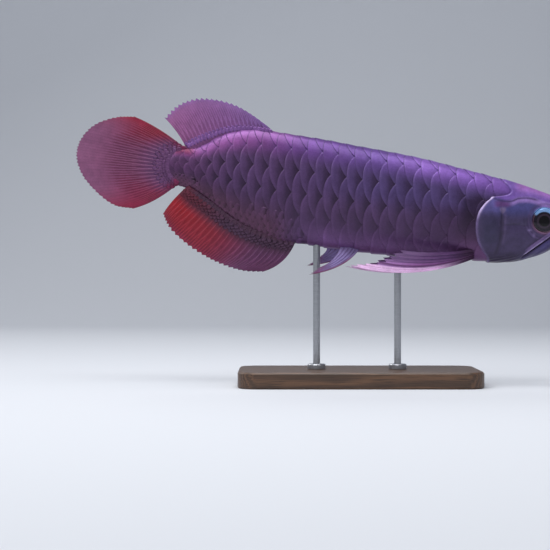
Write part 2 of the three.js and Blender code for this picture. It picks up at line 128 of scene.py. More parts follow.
def through(pairs):
    """A curve through (place, value) pairs: cubics whose slope at a pair is that between its neighbours."""
    x, y = np.array(pairs, float).T
    slope = np.empty_like(y)
    slope[1:-1] = (y[2:] - y[:-2]) / (x[2:] - x[:-2])
    slope[0] = (y[1] - y[0]) / (x[1] - x[0])
    slope[-1] = (y[-1] - y[-2]) / (x[-1] - x[-2])

    def at(place):
        """The cubic of the pairs either side of a place, which ends level outside the first and last."""
        place = np.asarray(place, float)
        i = np.clip(np.searchsorted(x, place, side="right") - 1, 0, len(x) - 2)
        run = x[i + 1] - x[i]
        t = np.clip((place - x[i]) / run, 0, 1)
        rise = (3 - 2 * t) * t * t
        return (
            y[i] * (1 - rise) + y[i + 1] * rise
            + run * t * (1 - t) * (slope[i] * (1 - t) - slope[i + 1] * t)
        )

    return at


def spline(points):
    """The curve through points whose knots lie apart by the root of their distance, at u from 0 to 1."""
    p = np.array(points, float)
    count = len(p)
    p = np.vstack([2 * p[0] - p[1], p, 2 * p[-1] - p[-2]])
    gap = np.linalg.norm(np.diff(p, axis=0), axis=1) ** 0.5

    def at(u):
        """The cubic between the two nearest points, its slopes taken from the four about it."""
        place = np.clip(np.asarray(u, float), 0, 1) * (count - 1)
        i = np.minimum(place.astype(int), count - 2)
        t = (place - i)[..., None]
        p0, p1, p2, p3 = p[i], p[i + 1], p[i + 2], p[i + 3]
        d0, d1, d2 = gap[i][..., None], gap[i + 1][..., None], gap[i + 2][..., None]
        first = ((p1 - p0) / d0 - (p2 - p0) / (d0 + d1) + (p2 - p1) / d1) * d1
        last = ((p2 - p1) / d1 - (p3 - p1) / (d1 + d2) + (p3 - p2) / d2) * d1
        rise = (3 - 2 * t) * t * t
        return p1 * (1 - rise) + p2 * rise + t * (1 - t) * (first * (1 - t) - last * t)

    return at


def step(x, low, high):
    """0 below low, 1 above high, and an S between them."""
    t = np.clip((x - low) / (high - low), 0, 1)
    return t * t * (3 - 2 * t)


def hump(x, width):
    """A bell of height 1 about x = 0, which falls to 0.37 at width."""
    return np.exp(-((x / width) ** 2))


def band(x, low, high, soft):
    """1 between low and high and 0 outside, with soft shoulders of that width."""
    return step(x, low - soft / 2, low + soft / 2) * (1 - step(x, high - soft / 2, high + soft / 2))


def mix(colour, other, share):
    """colour moved towards other by share, point by point. Each is a hex code or an array."""
    colour, other = (linear(c) if isinstance(c, str) else c for c in (colour, other))
    share = np.asarray(share)[..., None]
    return colour * (1 - share) + other * share


def lay(colour, *layers):
    """colour with layers of (colour, share) laid over it in turn."""
    for other, share in layers:
        colour = mix(colour, other, share)
    return colour


def round_off(to_end, length):
    """The quarter circle by which a body closes over its last length."""
    u = np.clip(1 - to_end / length, 0, 1)
    return np.sqrt(1 - u * u)


back_at = through(BACK)
belly_at = through(BELLY)
half_width_at = through(HALF_WIDTH)
widest_at = through(WIDEST_AT)
back_power_at = through(BACK_POWER)
belly_power_at = through(BELLY_POWER)
gill_edge_at = through([(z, s) for s, z in reversed(GILL_EDGE)])
groove_at = through([(z, s) for s, z in reversed(GROOVE)])
mouth_at = through(MOUTH)
roof_at = through(ROOF)
nape_at = through(NAPE)
scale_length_at = through(SCALE_LENGTH)


def section(s):
    """What shapes the flesh at a station: top, bottom and widest height, half width and two roundings."""
    top, low = back_at(s), belly_at(s)
    to_snout = step(s, SNOUT - MUZZLE, SNOUT)
    middle = (low + widest_at(s) * (top - low)) * (1 - to_snout) + SNOUT_HIGH * to_snout
    tall = round_off(s - FLESH_END, FLESH_ROUND) * round_off(SNOUT - s, SNOUT_ROUND)
    wide = round_off(s - FLESH_END, FLESH_ROUND) * round_off(SNOUT - s, MUZZLE_ROUND)
    return top, low, middle, half_width_at(s) * wide, tall


def flesh(s, turn):
    """The flesh's section at a station: above and below its widest height each a half superellipse."""
    top, low, middle, wide, tall = section(s)
    c, d = np.cos(turn), np.sin(turn)
    power = 2 / np.where(d > 0, back_power_at(s), belly_power_at(s))
    y = wide * np.sign(c) * np.abs(c) ** power
    z = middle + tall * np.sign(d) * np.abs(d) ** power * np.where(d > 0, top - middle, middle - low)
    return y, z


def flank(s, z):
    """Half the flesh's width at a station and height: the superellipse solved for y."""
    top, low, middle, wide, tall = section(s)
    above = z > middle
    reach = np.where(above, top - middle, middle - low) * tall
    power = np.where(above, back_power_at(s), belly_power_at(s))
    return wide * np.clip(1 - np.clip(np.abs(z - middle) / reach, 0, 1) ** power, 0, 1) ** (1 / power)


def body_table():
    """Points of the flesh at stations and even steps round its girth, from the back down the left side."""
    ends = np.linspace(0, 1, 40)[1:] ** 2 * 5
    stations = np.concatenate([FLESH_END + ends, np.arange(93, SNOUT - 5.4, 0.5), SNOUT - ends[::-1]])
    turns = np.pi / 2 - np.linspace(0, 2 * np.pi, 4 * GIRTH_STEPS + 1)
    y, z = flesh(stations[:, None], turns[None, :])
    far = np.cumsum(np.hypot(np.diff(y, axis=1), np.diff(z, axis=1)), axis=1)
    far = np.hstack([np.zeros((len(far), 1)), far])
    girth = np.linspace(0, 1, GIRTH_STEPS + 1)
    even = np.empty((len(stations), len(girth), 2))
    for i, row in enumerate(far / far[:, -1:]):
        even[i, :, 0] = np.interp(girth, row, y[i])
        even[i, :, 1] = np.interp(girth, row, z[i])
    return stations, even


STATIONS, TABLE = body_table()


def on_body(s, round_at):
    """Points of the flesh at stations s and shares of the girth, between the table's nearest four entries."""
    s, round_at = np.broadcast_arrays(s, round_at)
    i = np.interp(s, STATIONS, np.arange(len(STATIONS)))
    i0 = np.minimum(i.astype(int), len(STATIONS) - 2)
    j = (round_at % 1) * GIRTH_STEPS
    j0 = np.minimum(j.astype(int), GIRTH_STEPS - 1)
    fi, fj = (i - i0)[..., None], (j - j0)[..., None]
    yz = (TABLE[i0, j0] * (1 - fj) + TABLE[i0, j0 + 1] * fj) * (1 - fi) + (
        TABLE[i0 + 1, j0] * (1 - fj) + TABLE[i0 + 1, j0 + 1] * fj
    ) * fi
    return np.concatenate([s[..., None], yz], axis=-1)


def unit(v):
    """Vectors at length 1."""
    return v / np.maximum(np.linalg.norm(v, axis=-1, keepdims=True), 1e-9)


def out_of_body(s, round_at):
    """The outward normal of the flesh: along its length crossed with round its girth."""
    near, far = np.maximum(s - 0.8, STATIONS[0]), np.minimum(s + 0.8, STATIONS[-1])
    along = on_body(far, round_at) - on_body(near, round_at)
    across = on_body(s, round_at + 0.006) - on_body(s, round_at - 0.006)
    return unit(np.cross(along, across))


# Meshes


def closed_faces(rows, columns, wrap_rows=False, wrap_columns=False):
    """The quads of a grid, row by row, as corner numbers and as (row, column) places for a map."""
    i, j = np.meshgrid(
        np.arange(rows if wrap_rows else rows - 1), np.arange(columns if wrap_columns else columns - 1),
        indexing="ij",
    )
    i, j = i.ravel(), j.ravel()
    corner_i = np.stack([i, i + 1, i + 1, i], 1)
    corner_j = np.stack([j, j, j + 1, j + 1], 1)
    return (corner_i % rows) * columns + corner_j % columns, corner_i, corner_j


def make(name, points, faces, maps, material, tint, values=(), replaced=()):
    """One piece from points in millimetres, faces and their map corners, and colours and values at points."""
    mesh = bpy.data.meshes.new(name)
    places = np.array(points, float).reshape(-1, 3)
    places[:, 0] -= MIDDLE
    loops = np.concatenate([f.ravel() for f in faces]).astype(np.int32)
    sizes = np.concatenate([np.full(len(f), f.shape[1]) for f in faces])
    starts = np.concatenate([[0], np.cumsum(sizes)[:-1]]).astype(np.int32)
    mesh.vertices.add(len(places))
    mesh.vertices.foreach_set("co", (places * MM).astype(np.float32).ravel())
    mesh.loops.add(len(loops))
    mesh.loops.foreach_set("vertex_index", loops)
    mesh.polygons.add(len(sizes))
    mesh.polygons.foreach_set("loop_start", starts)
    mesh.polygons.foreach_set("use_smooth", np.full(len(sizes), True))
    layer = mesh.uv_layers.new(name="OFBake")
    corners = np.concatenate([m.reshape(-1, 2) for m in maps])
    layer.uv.foreach_set("vector", corners.astype(np.float32).ravel())
    colours = mesh.color_attributes.new(name="tint", type="FLOAT_COLOR", domain="POINT")
    rgba = np.ones((len(places), 4), np.float32)
    rgba[:, :3] = tint.reshape(-1, 3)
    colours.data.foreach_set("color", rgba.ravel())
    for key, value in dict(values).items():
        kept = mesh.attributes.new(name=key, type="FLOAT", domain="POINT")
        kept.data.foreach_set("value", np.asarray(value, np.float32).ravel())
    mesh.update(calc_edges=True)
    mesh.validate()
    mesh.materials.append(material)
    piece = bpy.data.objects.new(name, mesh)
    bpy.context.scene.collection.objects.link(piece)
    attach(piece, "root")
    if replaced:
        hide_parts(*replaced)
    return piece


# Materials


def add(tree, kind, settings=(), inputs=()):
    """Adds a node of a kind with its settings, and sets its inputs, or links those given as an output."""
    node = tree.nodes.new(kind)
    for key, value in dict(settings).items():
        setattr(node, key, value)
    for key, value in dict(inputs).items():
        if isinstance(value, bpy.types.NodeSocket):
            tree.links.new(value, node.inputs[key])
        else:
            node.inputs[key].default_value = value
    return node


def new_material(name, **shader):
    """A material with one Principled shader, whose plain values are set on its own sockets."""
    material = bpy.data.materials.new(name)
    material.use_nodes = True
    tree = material.node_tree
    tree.nodes.clear()
    inputs = {key.replace("_", " "): value for key, value in shader.items()}
    principled = add(tree, "ShaderNodeBsdfPrincipled", inputs=inputs)
    output = add(tree, "ShaderNodeOutputMaterial")
    tree.links.new(principled.outputs[0], output.inputs["Surface"])
    return material, tree, principled


def noise(tree, places, size, detail, **more):
    """Noise whose blotches are size millimetres wide."""
    inputs = {"Vector": places, "Scale": 1 / (size * MM), "Detail": detail, **more}
    return add(tree, "ShaderNodeTexNoise", inputs=inputs)


def mottled(tree, colour, size, strength, seed):
    """colour made lighter and darker by noise whose blotches are size millimetres wide, and that noise."""
    places = add(tree, "ShaderNodeTexCoord").outputs["Object"]
    shift = add(tree, "ShaderNodeMapping", inputs={"Vector": places, "Location": (seed, seed, seed)})
    grain = noise(tree, shift.outputs[0], size, 4.0, Roughness=0.6).outputs[0]
    limits = {"From Min": 0.3, "From Max": 0.7, "To Min": 1 - strength, "To Max": 1 + strength}
    level = add(tree, "ShaderNodeMapRange", inputs={"Value": grain, **limits})
    scaled = add(tree, "ShaderNodeVectorMath", {"operation": "SCALE"}, {0: colour, "Scale": level.outputs[0]})
    return scaled.outputs[0], grain


def tinted(tree, shader, *blotches):
    """Gives a shader the piece's own tint, mottled by each (size, strength, seed). Returns the last noise."""
    colour = add(tree, "ShaderNodeVertexColor", {"layer_name": "tint"}).outputs["Color"]
    for size, strength, seed in blotches:
        colour, grain = mottled(tree, colour, size, strength, seed)
    tree.links.new(colour, shader.inputs["Base Color"])
    return grain


def gloss(tree, shader, level, low, high):
    """Sets a shader's roughness from low to high as a level goes from 0 to 1."""
    rough = add(tree, "ShaderNodeMapRange", inputs={"Value": level, "To Min": low, "To Max": high})
    tree.links.new(rough.outputs[0], shader.inputs["Roughness"])


def bumped(tree, shader, height, strength, depth):
    """Raises a shader's surface by a height, depth millimetres for each unit of it."""
    inputs = {"Height": height, "Strength": strength, "Distance": depth * MM}
    bump = add(tree, "ShaderNodeBump", inputs=inputs)
    tree.links.new(bump.outputs[0], shader.inputs["Normal"])


def attribute(tree, name):
    """The value of that name kept at each point of the piece."""
    return add(tree, "ShaderNodeAttribute", {"attribute_name": name}).outputs["Fac"]


def maths(tree, operation, *values):
    """The result of one maths node."""
    return add(tree, "ShaderNodeMath", {"operation": operation}, dict(enumerate(values))).outputs[0]


def stretched(tree, *scale):
    """The piece's own places, scaled along X, Y and Z."""
    places = add(tree, "ShaderNodeTexCoord").outputs["Object"]
    return add(tree, "ShaderNodeMapping", inputs={"Vector": places, "Scale": scale}).outputs[0]


def blend(tree, share, one, other):
    """A mix of two colours by share. Each is a hex code or another node's colour."""
    one, other = ((*linear(c), 1) if isinstance(c, str) else c for c in (one, other))
    return add(tree, "ShaderNodeMix", {"data_type": "RGBA"}, {0: share, 6: one, 7: other}).outputs[2]


def skin_material():
    """Wet fish skin over bone: a thin clear slime coat gives a soft shine, and fine pits break it up."""
    material, tree, shader = new_material(
        "wet_fish_skin", Metallic=0.1, Coat_Weight=0.12, Coat_Roughness=0.2, Specular_IOR_Level=0.28
    )
    grain = tinted(tree, shader, (7, 0.2, 0.0), (1.1, 0.12, 3.0))
    gloss(tree, shader, grain, 0.3, 0.52)
    places = add(tree, "ShaderNodeTexCoord").outputs["Object"]
    pits = add(tree, "ShaderNodeTexVoronoi", inputs={"Vector": places, "Scale": 1 / (0.9 * MM)})
    bumped(tree, shader, pits.outputs["Distance"], 0.25, 0.12)
    return material


def scale_material():
    """Scale plate backed by silvery guanine: half metallic under a clear skin, with growth rings by its edge.

    The rings are 1 mm apart, four times the real spacing, which would be too fine to show.
    """
    material, tree, shader = new_material(
        "silvered_scale", Metallic=0.35, Coat_Weight=0.1, Coat_Roughness=0.22, Specular_IOR_Level=0.28
    )
    grain = tinted(tree, shader, (9, 0.12, 5.0), (1.3, 0.13, 9.0))
    gloss(tree, shader, grain, 0.3, 0.5)
    rings = maths(tree, "SINE", maths(tree, "MULTIPLY", attribute(tree, "from_edge"), 2 * np.pi))
    bumped(tree, shader, maths(tree, "MULTIPLY_ADD", rings, 0.35, grain), 0.3, 0.1)
    return material


def fin_material():
    """Fin of bony rays in a thin wet membrane: satin, with the rays jointed every 1.5 mm."""
    material, tree, shader = new_material(
        "fin_membrane", Metallic=0.0, Coat_Weight=0.06, Coat_Roughness=0.25, Specular_IOR_Level=0.22
    )
    grain = tinted(tree, shader, (8, 0.13, 2.0), (1.0, 0.12, 7.0))
    gloss(tree, shader, grain, 0.4, 0.6)
    joints = maths(tree, "SINE", maths(tree, "MULTIPLY", attribute(tree, "along"), 2 * np.pi / 1.5))
    on_ray = maths(tree, "MULTIPLY", joints, attribute(tree, "ray"))
    bumped(tree, shader, maths(tree, "MULTIPLY_ADD", on_ray, 0.4, grain), 0.3, 0.12)
    return material


def eye_material():
    """Glass eye: colour under a hard clear dome, so a sharp highlight lies over a dark, silvery iris."""
    material, tree, shader = new_material(
        "glass_eye", Roughness=0.2, Coat_Weight=1.0, Coat_Roughness=0.02, Coat_IOR=1.33,
        Specular_IOR_Level=0.1,
    )
    tinted(tree, shader, (0.9, 0.1, 4.0))
    tree.links.new(attribute(tree, "silver"), shader.inputs["Metallic"])
    return material


def wood_material():
    """Oiled walnut board: streaks of grain 3 mm apart along X, satin, with open pores."""
    material, tree, shader = new_material("oiled_walnut", Coat_Weight=0.12, Coat_Roughness=0.3)
    along = stretched(tree, 0.09, 1.0, 1.0)
    bend = noise(tree, along, 26, 3.0).outputs["Color"]
    moved = add(
        tree, "ShaderNodeVectorMath", {"operation": "MULTIPLY_ADD"},
        {0: bend, 1: (0.0, 0.016, 0.016), 2: along},
    )
    rings = add(
        tree, "ShaderNodeTexWave", {"bands_direction": "Y"},
        {"Vector": moved.outputs[0], "Scale": 0.31 / (3.2 * MM), "Distortion": 1.5, "Detail": 3.0},
    )
    pores = noise(tree, stretched(tree, 0.03, 1.0, 1.0), 0.8, 5.0).outputs[0]
    dark = add(tree, "ShaderNodeMapRange", inputs={"Value": pores, "From Min": 0.35, "From Max": 0.5})
    tone = blend(tree, rings.outputs["Fac"], "#4a3527", "#6b4c36")
    tree.links.new(blend(tree, dark.outputs[0], "#38271c", tone), shader.inputs["Base Color"])
    gloss(tree, shader, pores, 0.55, 0.34)
    bumped(tree, shader, pores, 0.2, 0.15)
    return material


def steel_material():
    """Turned and brushed steel: fine rings 0.4 mm apart round the rod, which spread the highlight."""
    material, tree, shader = new_material("brushed_steel", Metallic=1.0)
    lines = noise(tree, stretched(tree, 0.04, 0.04, 1.0), 0.4, 2.0).outputs[0]
    tree.links.new(blend(tree, lines, "#9a9ca1", "#c2c4c9"), shader.inputs["Base Color"])
    gloss(tree, shader, lines, 0.24, 0.42)
    bumped(tree, shader, lines, 0.15, 0.05)
    return material


# Markings shared by the skin and the coat


def height_share(s, z):
    """How high a point lies between belly and back, from 0 to 1."""
    top, low = back_at(s), belly_at(s)
    return (z - low) / (top - low)


def markings(s, z, shade):
    """The body's colours: a lilac back over a plum flank, redder to the tail; the back's lilac is partly its
    own colour and partly painted light from above. shade darkens scales' bases with dark pigment and painted
    shade.
    """
    up = height_share(s, z)
    back = step(up, 0.71, 0.9)
    front = step(s, 180, 330)
    # The lilac back: partly its own colour, partly painted light falling from above.
    lilac = lay(
        mix("#844e8c", "#5f397e", step(s, 150, 240)),
        ("#5f468c", front),
        ("#805fb0", step(s, 295, 350)),
        ("#845896", step(up, 0.86, 1.0) * (1 - step(s, 180, 240))),
    )
    lit = lay(
        mix("#58426a", "#544775", front * step(up, 0.35, 0.6)),
        ("#513a60", 1 - step(up, 0.12, 0.5)),
        ("#5c3c63", 1 - step(s, 95, 170)),
        (lilac, back),
    )
    dark = mix("#2e2036", "#43304f", 1 - step(up, 0.08, 0.4))
    dark = mix(dark, mix("#5a3870", "#4f3b7d", front), back)
    # Painted shade behind the gill cover, above the pectoral fin's root.
    shade_behind_gill = band(s, 384, 412, 14) * (1 - step(z, 184, 190)) * step(z, 150, 168)
    # The scales' dark base, mixed in by shade: dark pigment with painted shade under the overlapping plate.
    colour = lay(
        mix(lit, dark, shade),
        ("#55323f", 0.6 * (1 - step(s, 190, 225)) * (1 - step(up, 0.1, 0.42))),
        ("#641a38", 0.9 * (1 - step(s, 112, 126)) * step(up, 0.74, 0.93)),
        ("#3b2643", 0.75 * step(s, 320, 405) * (1 - step(up, 0.48, 0.6))),
        ("#79588f", 0.75 * (1 - step(up, 0.04, 0.24)) * step(s, 215, 250)),
        ("#6a4770", 0.6 * step(s, 365, 395) * (1 - step(up, 0.12, 0.34))),
        ("#2a1c33", 0.75 * shade_behind_gill),
    )
    # Darker towards the belly by up to a sixth: painted shade under light from above.
    return colour * [1.0, 0.88, 0.96] * (1 - 0.16 * (1 - step(up, 0.3, 0.62)))[..., None]


# The skin


def coat_depth(s):
    """How deep the skin lies under the scales' outline, which follows the scales' size."""
    return COAT * scale_length_at(s) / LARGEST_SCALE


def from_mouth(s, z):
    """The height above the line of the mouth, square to that line."""
    slope = (mouth_at(s + 1) - mouth_at(s - 1)) / 2
    return (z - mouth_at(s)) / np.sqrt(1 + slope * slope)


def from_crease(s, z):
    """The height above the wavy crease between the two cheek plates."""
    return z - 159.2 - 0.5 * np.sin((s - 428) * 0.24)


def head_relief(s, y, z):
    """How far the head's surface stands out: a sum of plates, ridges and pits, each a bell or an S."""
    side = step(np.abs(y), 4, 9)
    up = from_mouth(s, z)
    mouth = step(s, 443, 447)
    eye = np.hypot(s - EYE["s"], z - EYE["z"])
    ahead = s - gill_edge_at(z)
    d = 0.1 * np.ones(s.shape)
    # Gill cover: a thickened rim, faint ribs that fan out from its hinge, and the deep groove in front of it
    fan = np.arctan2(z - 181, s - 424)
    cover = step(ahead, 1, 5) * (1 - step(s, 418, 421)) * step(z, 128, 134) * (1 - step(z, 182, 187))
    d += side * cover * (0.25 + 0.06 * np.sin(fan * 46))
    d += 0.35 * hump(ahead - 1.8, 1.5) * (1 - step(z, 186, 190)) * step(s, 390, 396)
    groove = s - groove_at(z)
    tall = step(z, 129, 142) * (1 - step(z, 170, 184))
    d -= side * tall * (0.75 * hump(groove, 1.0) + 0.35 * hump(groove + 0.8, 3.2))
    # Cheek plates, and the creases between them
    upper = band(s, 427.5, 448, 7) * band(z, 160.8, 180, 5)
    lower = band(s, 427, 452, 8) * band(z, 139, 157.4, 5) * step(up, 4, 8)
    d += side * (0.45 * upper + 0.4 * lower)
    d -= side * 0.2 * hump(from_crease(s, z), 0.6) * band(s, 427, 448, 5)
    d -= side * 0.5 * hump(z - roof_at(s), 0.75) * band(s, 416, 460, 7)
    d += side * 0.3 * hump(z - roof_at(s) - 2.2, 1.4) * band(s, 424, 470, 6)
    # Round the eye: creases of loose skin behind and below it
    turn = np.degrees(np.arctan2(z - EYE["z"], s - EYE["s"])) % 360
    below = band(turn, 175, 300, 24)
    d -= side * below * (0.3 * hump(eye - 17.0, 0.7) + 0.2 * hump(eye - 20.4 - 0.02 * (turn - 230), 0.7))
    d += side * below * (0.25 * hump(eye - 18.7, 1) + 0.2 * hump(eye - 22, 1.1))
    d += side * 0.3 * hump(eye - 15.5, 2)
    # Mouth: the cleft, the upper jaw's long bone above it and the lower lip
    d -= mouth * side * 1.7 * hump(up, 0.6)
    d += mouth * side * 0.6 * band(up, 0.9, 4.6, 1.1) * (1 - step(s, 484, 488))
    d -= mouth * side * 0.3 * hump(up - 5.2, 0.7) * (1 - step(s, 476, 484))
    d += mouth * 0.4 * hump(up + 1.9, 1.3)
    d -= mouth * side * 0.3 * hump(up + 5.4, 1.0)
    # Nostrils: two pits with raised rims
    for at_s, at_z, wide in NOSTRILS:
        far = np.hypot(s - at_s, z - at_z)
        d += side * (0.5 * hump(far - 1.6 * wide, 0.7) - 1.5 * hump(far, wide))
    # Throat: folds of the gill membrane, and the gular plate between the jaw's two halves
    low = belly_at(s)
    folds = band(s, 410, 441, 6) * band(z - low, 0.8, 8.5, 3)
    d += 0.3 * folds * np.sin((z - low - 0.14 * (s - 410)) * 2.4)
    gular = np.hypot((s - 454) / 26, y / 6.2)
    under = 1 - step(z - low, 3, 7)
    d += under * (0.12 * (1 - step(gular, 0.75, 0.98)) - 0.25 * hump(gular - 1, 0.08))
    # Skull roof: a shallow channel each side of the crown, with sensory pores
    crown = step(z, roof_at(s) + 3, roof_at(s) + 6) * step(s, 436, 444)
    d -= 0.22 * crown * hump(np.abs(y) - 7.5, 1.2) * (1 - step(s, 488, 494))
    pores = np.cos((s - 440) * np.pi / 8.5 + 0.4 * np.sin(s * 0.3)) ** 10
    d -= 0.12 * crown * hump(np.abs(y) - 7.5, 0.9) * pores
    # Eye socket
    return d - 5.5 * (1 - step(eye, 11.4, 12.6)) * side


def head_colour(s, y, z):
    """The head's colours, from broad to fine: crown, lighter partly by painted light from above, cheeks, gill
    cover, jaws, then dark lines of painted shade in grooves, creases and nostrils, and rims, the gill cover's
    with a painted highlight on its upper part.
    """
    side = step(np.abs(y), 4, 9)
    up = from_mouth(s, z)
    over = z - roof_at(s)
    ahead = s - gill_edge_at(z)
    eye = np.hypot(s - EYE["s"], z - EYE["z"])
    wedge = np.hypot((s - 424) / (1.2 + 0.5 * np.clip(z - 170, 0, 7)), (z - 173.6) / 3.6)
    groove = s - groove_at(z)
    rim = hump(ahead - 1.0, 1.5) * (1 - step(z, 187.5, 189.5))
    return lay(
        mix("#413758", "#4b4880", band(z, 170, 192, 12) * step(s, 400, 428)),
        ("#43375a", band(z, 132, 158, 8)),
        ("#655c9c", band(s, 400, 421, 8) * step(z, 164, 184)),
        ("#37304f", band(s, 404, 420, 8) * band(z, 140, 168, 12)),
        # Crown lighter lilac: partly its own colour, partly painted light from above.
        ("#9174b8", step(over, -6, -2) * step(s, 426, 436)),
        ("#7152a0", step(over, 0.5, 3)),
        ("#8e66b2", step(over, 2, 8) * step(s, 434, 449)),
        ("#955fa8", 0.8 * step(over, 5, 12) * band(s, 440, 484, 12)),
        ("#8566b0", step(s, 478, 490) * step(z, 168, 176)),
        ("#443a70", (1 - step(up, -1.5, 0.2)) * step(s, 444, 466)),
        ("#362b58", (1 - step(z - belly_at(s), 2, 7)) * step(s, 436, 450)),
        ("#2d203f", (1 - step(z, 125, 137)) * (1 - step(s, 434, 448))),
        ("#6a5484", side * band(up, 0.8, 4.8, 1.4) * step(s, 446, 452) * (1 - step(s, 482, 490))),
        ("#a996c6", 0.85 * side * hump(up - 1.5, 0.75) * step(s, 444, 448) * (1 - step(s, 474, 486))),
        ("#8a769c", 0.65 * side * (1 - step(wedge, 0.55, 1.25))),
        ("#633a72", 0.8 * side * band(s, 416, 431, 6) * band(z, 177, 183, 3.5)),
        ("#594573", 0.7 * hump(eye - 18.9, 1.1) * (1 - step(z, 152, 160)) * side),
        ("#8e7cae", 0.8 * hump(np.hypot((s - 451) / 2.2, (z - 154.3) / 1.0), 1) * side),
        ("#7f6d9c", 0.6 * hump(np.hypot((s - 455) / 1.4, (z - 149.5) / 2.0), 1) * side),
        # Painted shade in the groove in front of the gill cover.
        ("#2b2139", 0.6 * side * hump(groove, 2.1) * step(z, 126, 132) * (1 - step(z, 168, 180))),
        ("#5b4b70", 0.5 * side * hump(groove - 3.2, 1.0) * band(z, 140, 172, 10)),
        # Painted shade in the crease between the cheek plates, along the skull roof's edge, in the mouth's
        # cleft and in the groove above the upper jaw.
        ("#332a44", 0.5 * side * hump(from_crease(s, z), 0.8) * band(s, 427, 448, 6)),
        ("#4a3468", 0.8 * side * hump(over, 1.0) * band(s, 414, 458, 4)),
        ("#20152d", 0.9 * side * hump(up + 0.1, 0.85) * step(s, 442, 447)),
        ("#2b2040", 0.5 * side * hump(up - 5.6, 0.7) * step(s, 443, 450) * (1 - step(s, 478, 486))),
        # The gill cover's rim: paler along its edge, with a painted highlight on its upper part.
        ("#6d5a86", 0.9 * rim),
        ("#cdb9ea", rim * step(z, 162, 178)),
        ("#4b3a61", 0.5 * hump(eye - 16.2, 1.2) * side),
        # Nostrils darkened by painted shade in their pits.
        *(
            ("#1c1226", 0.9 * hump(np.hypot(s - at_s, z - at_z), wide + 0.1) * side)
            for at_s, at_z, wide in NOSTRILS
        ),
    )


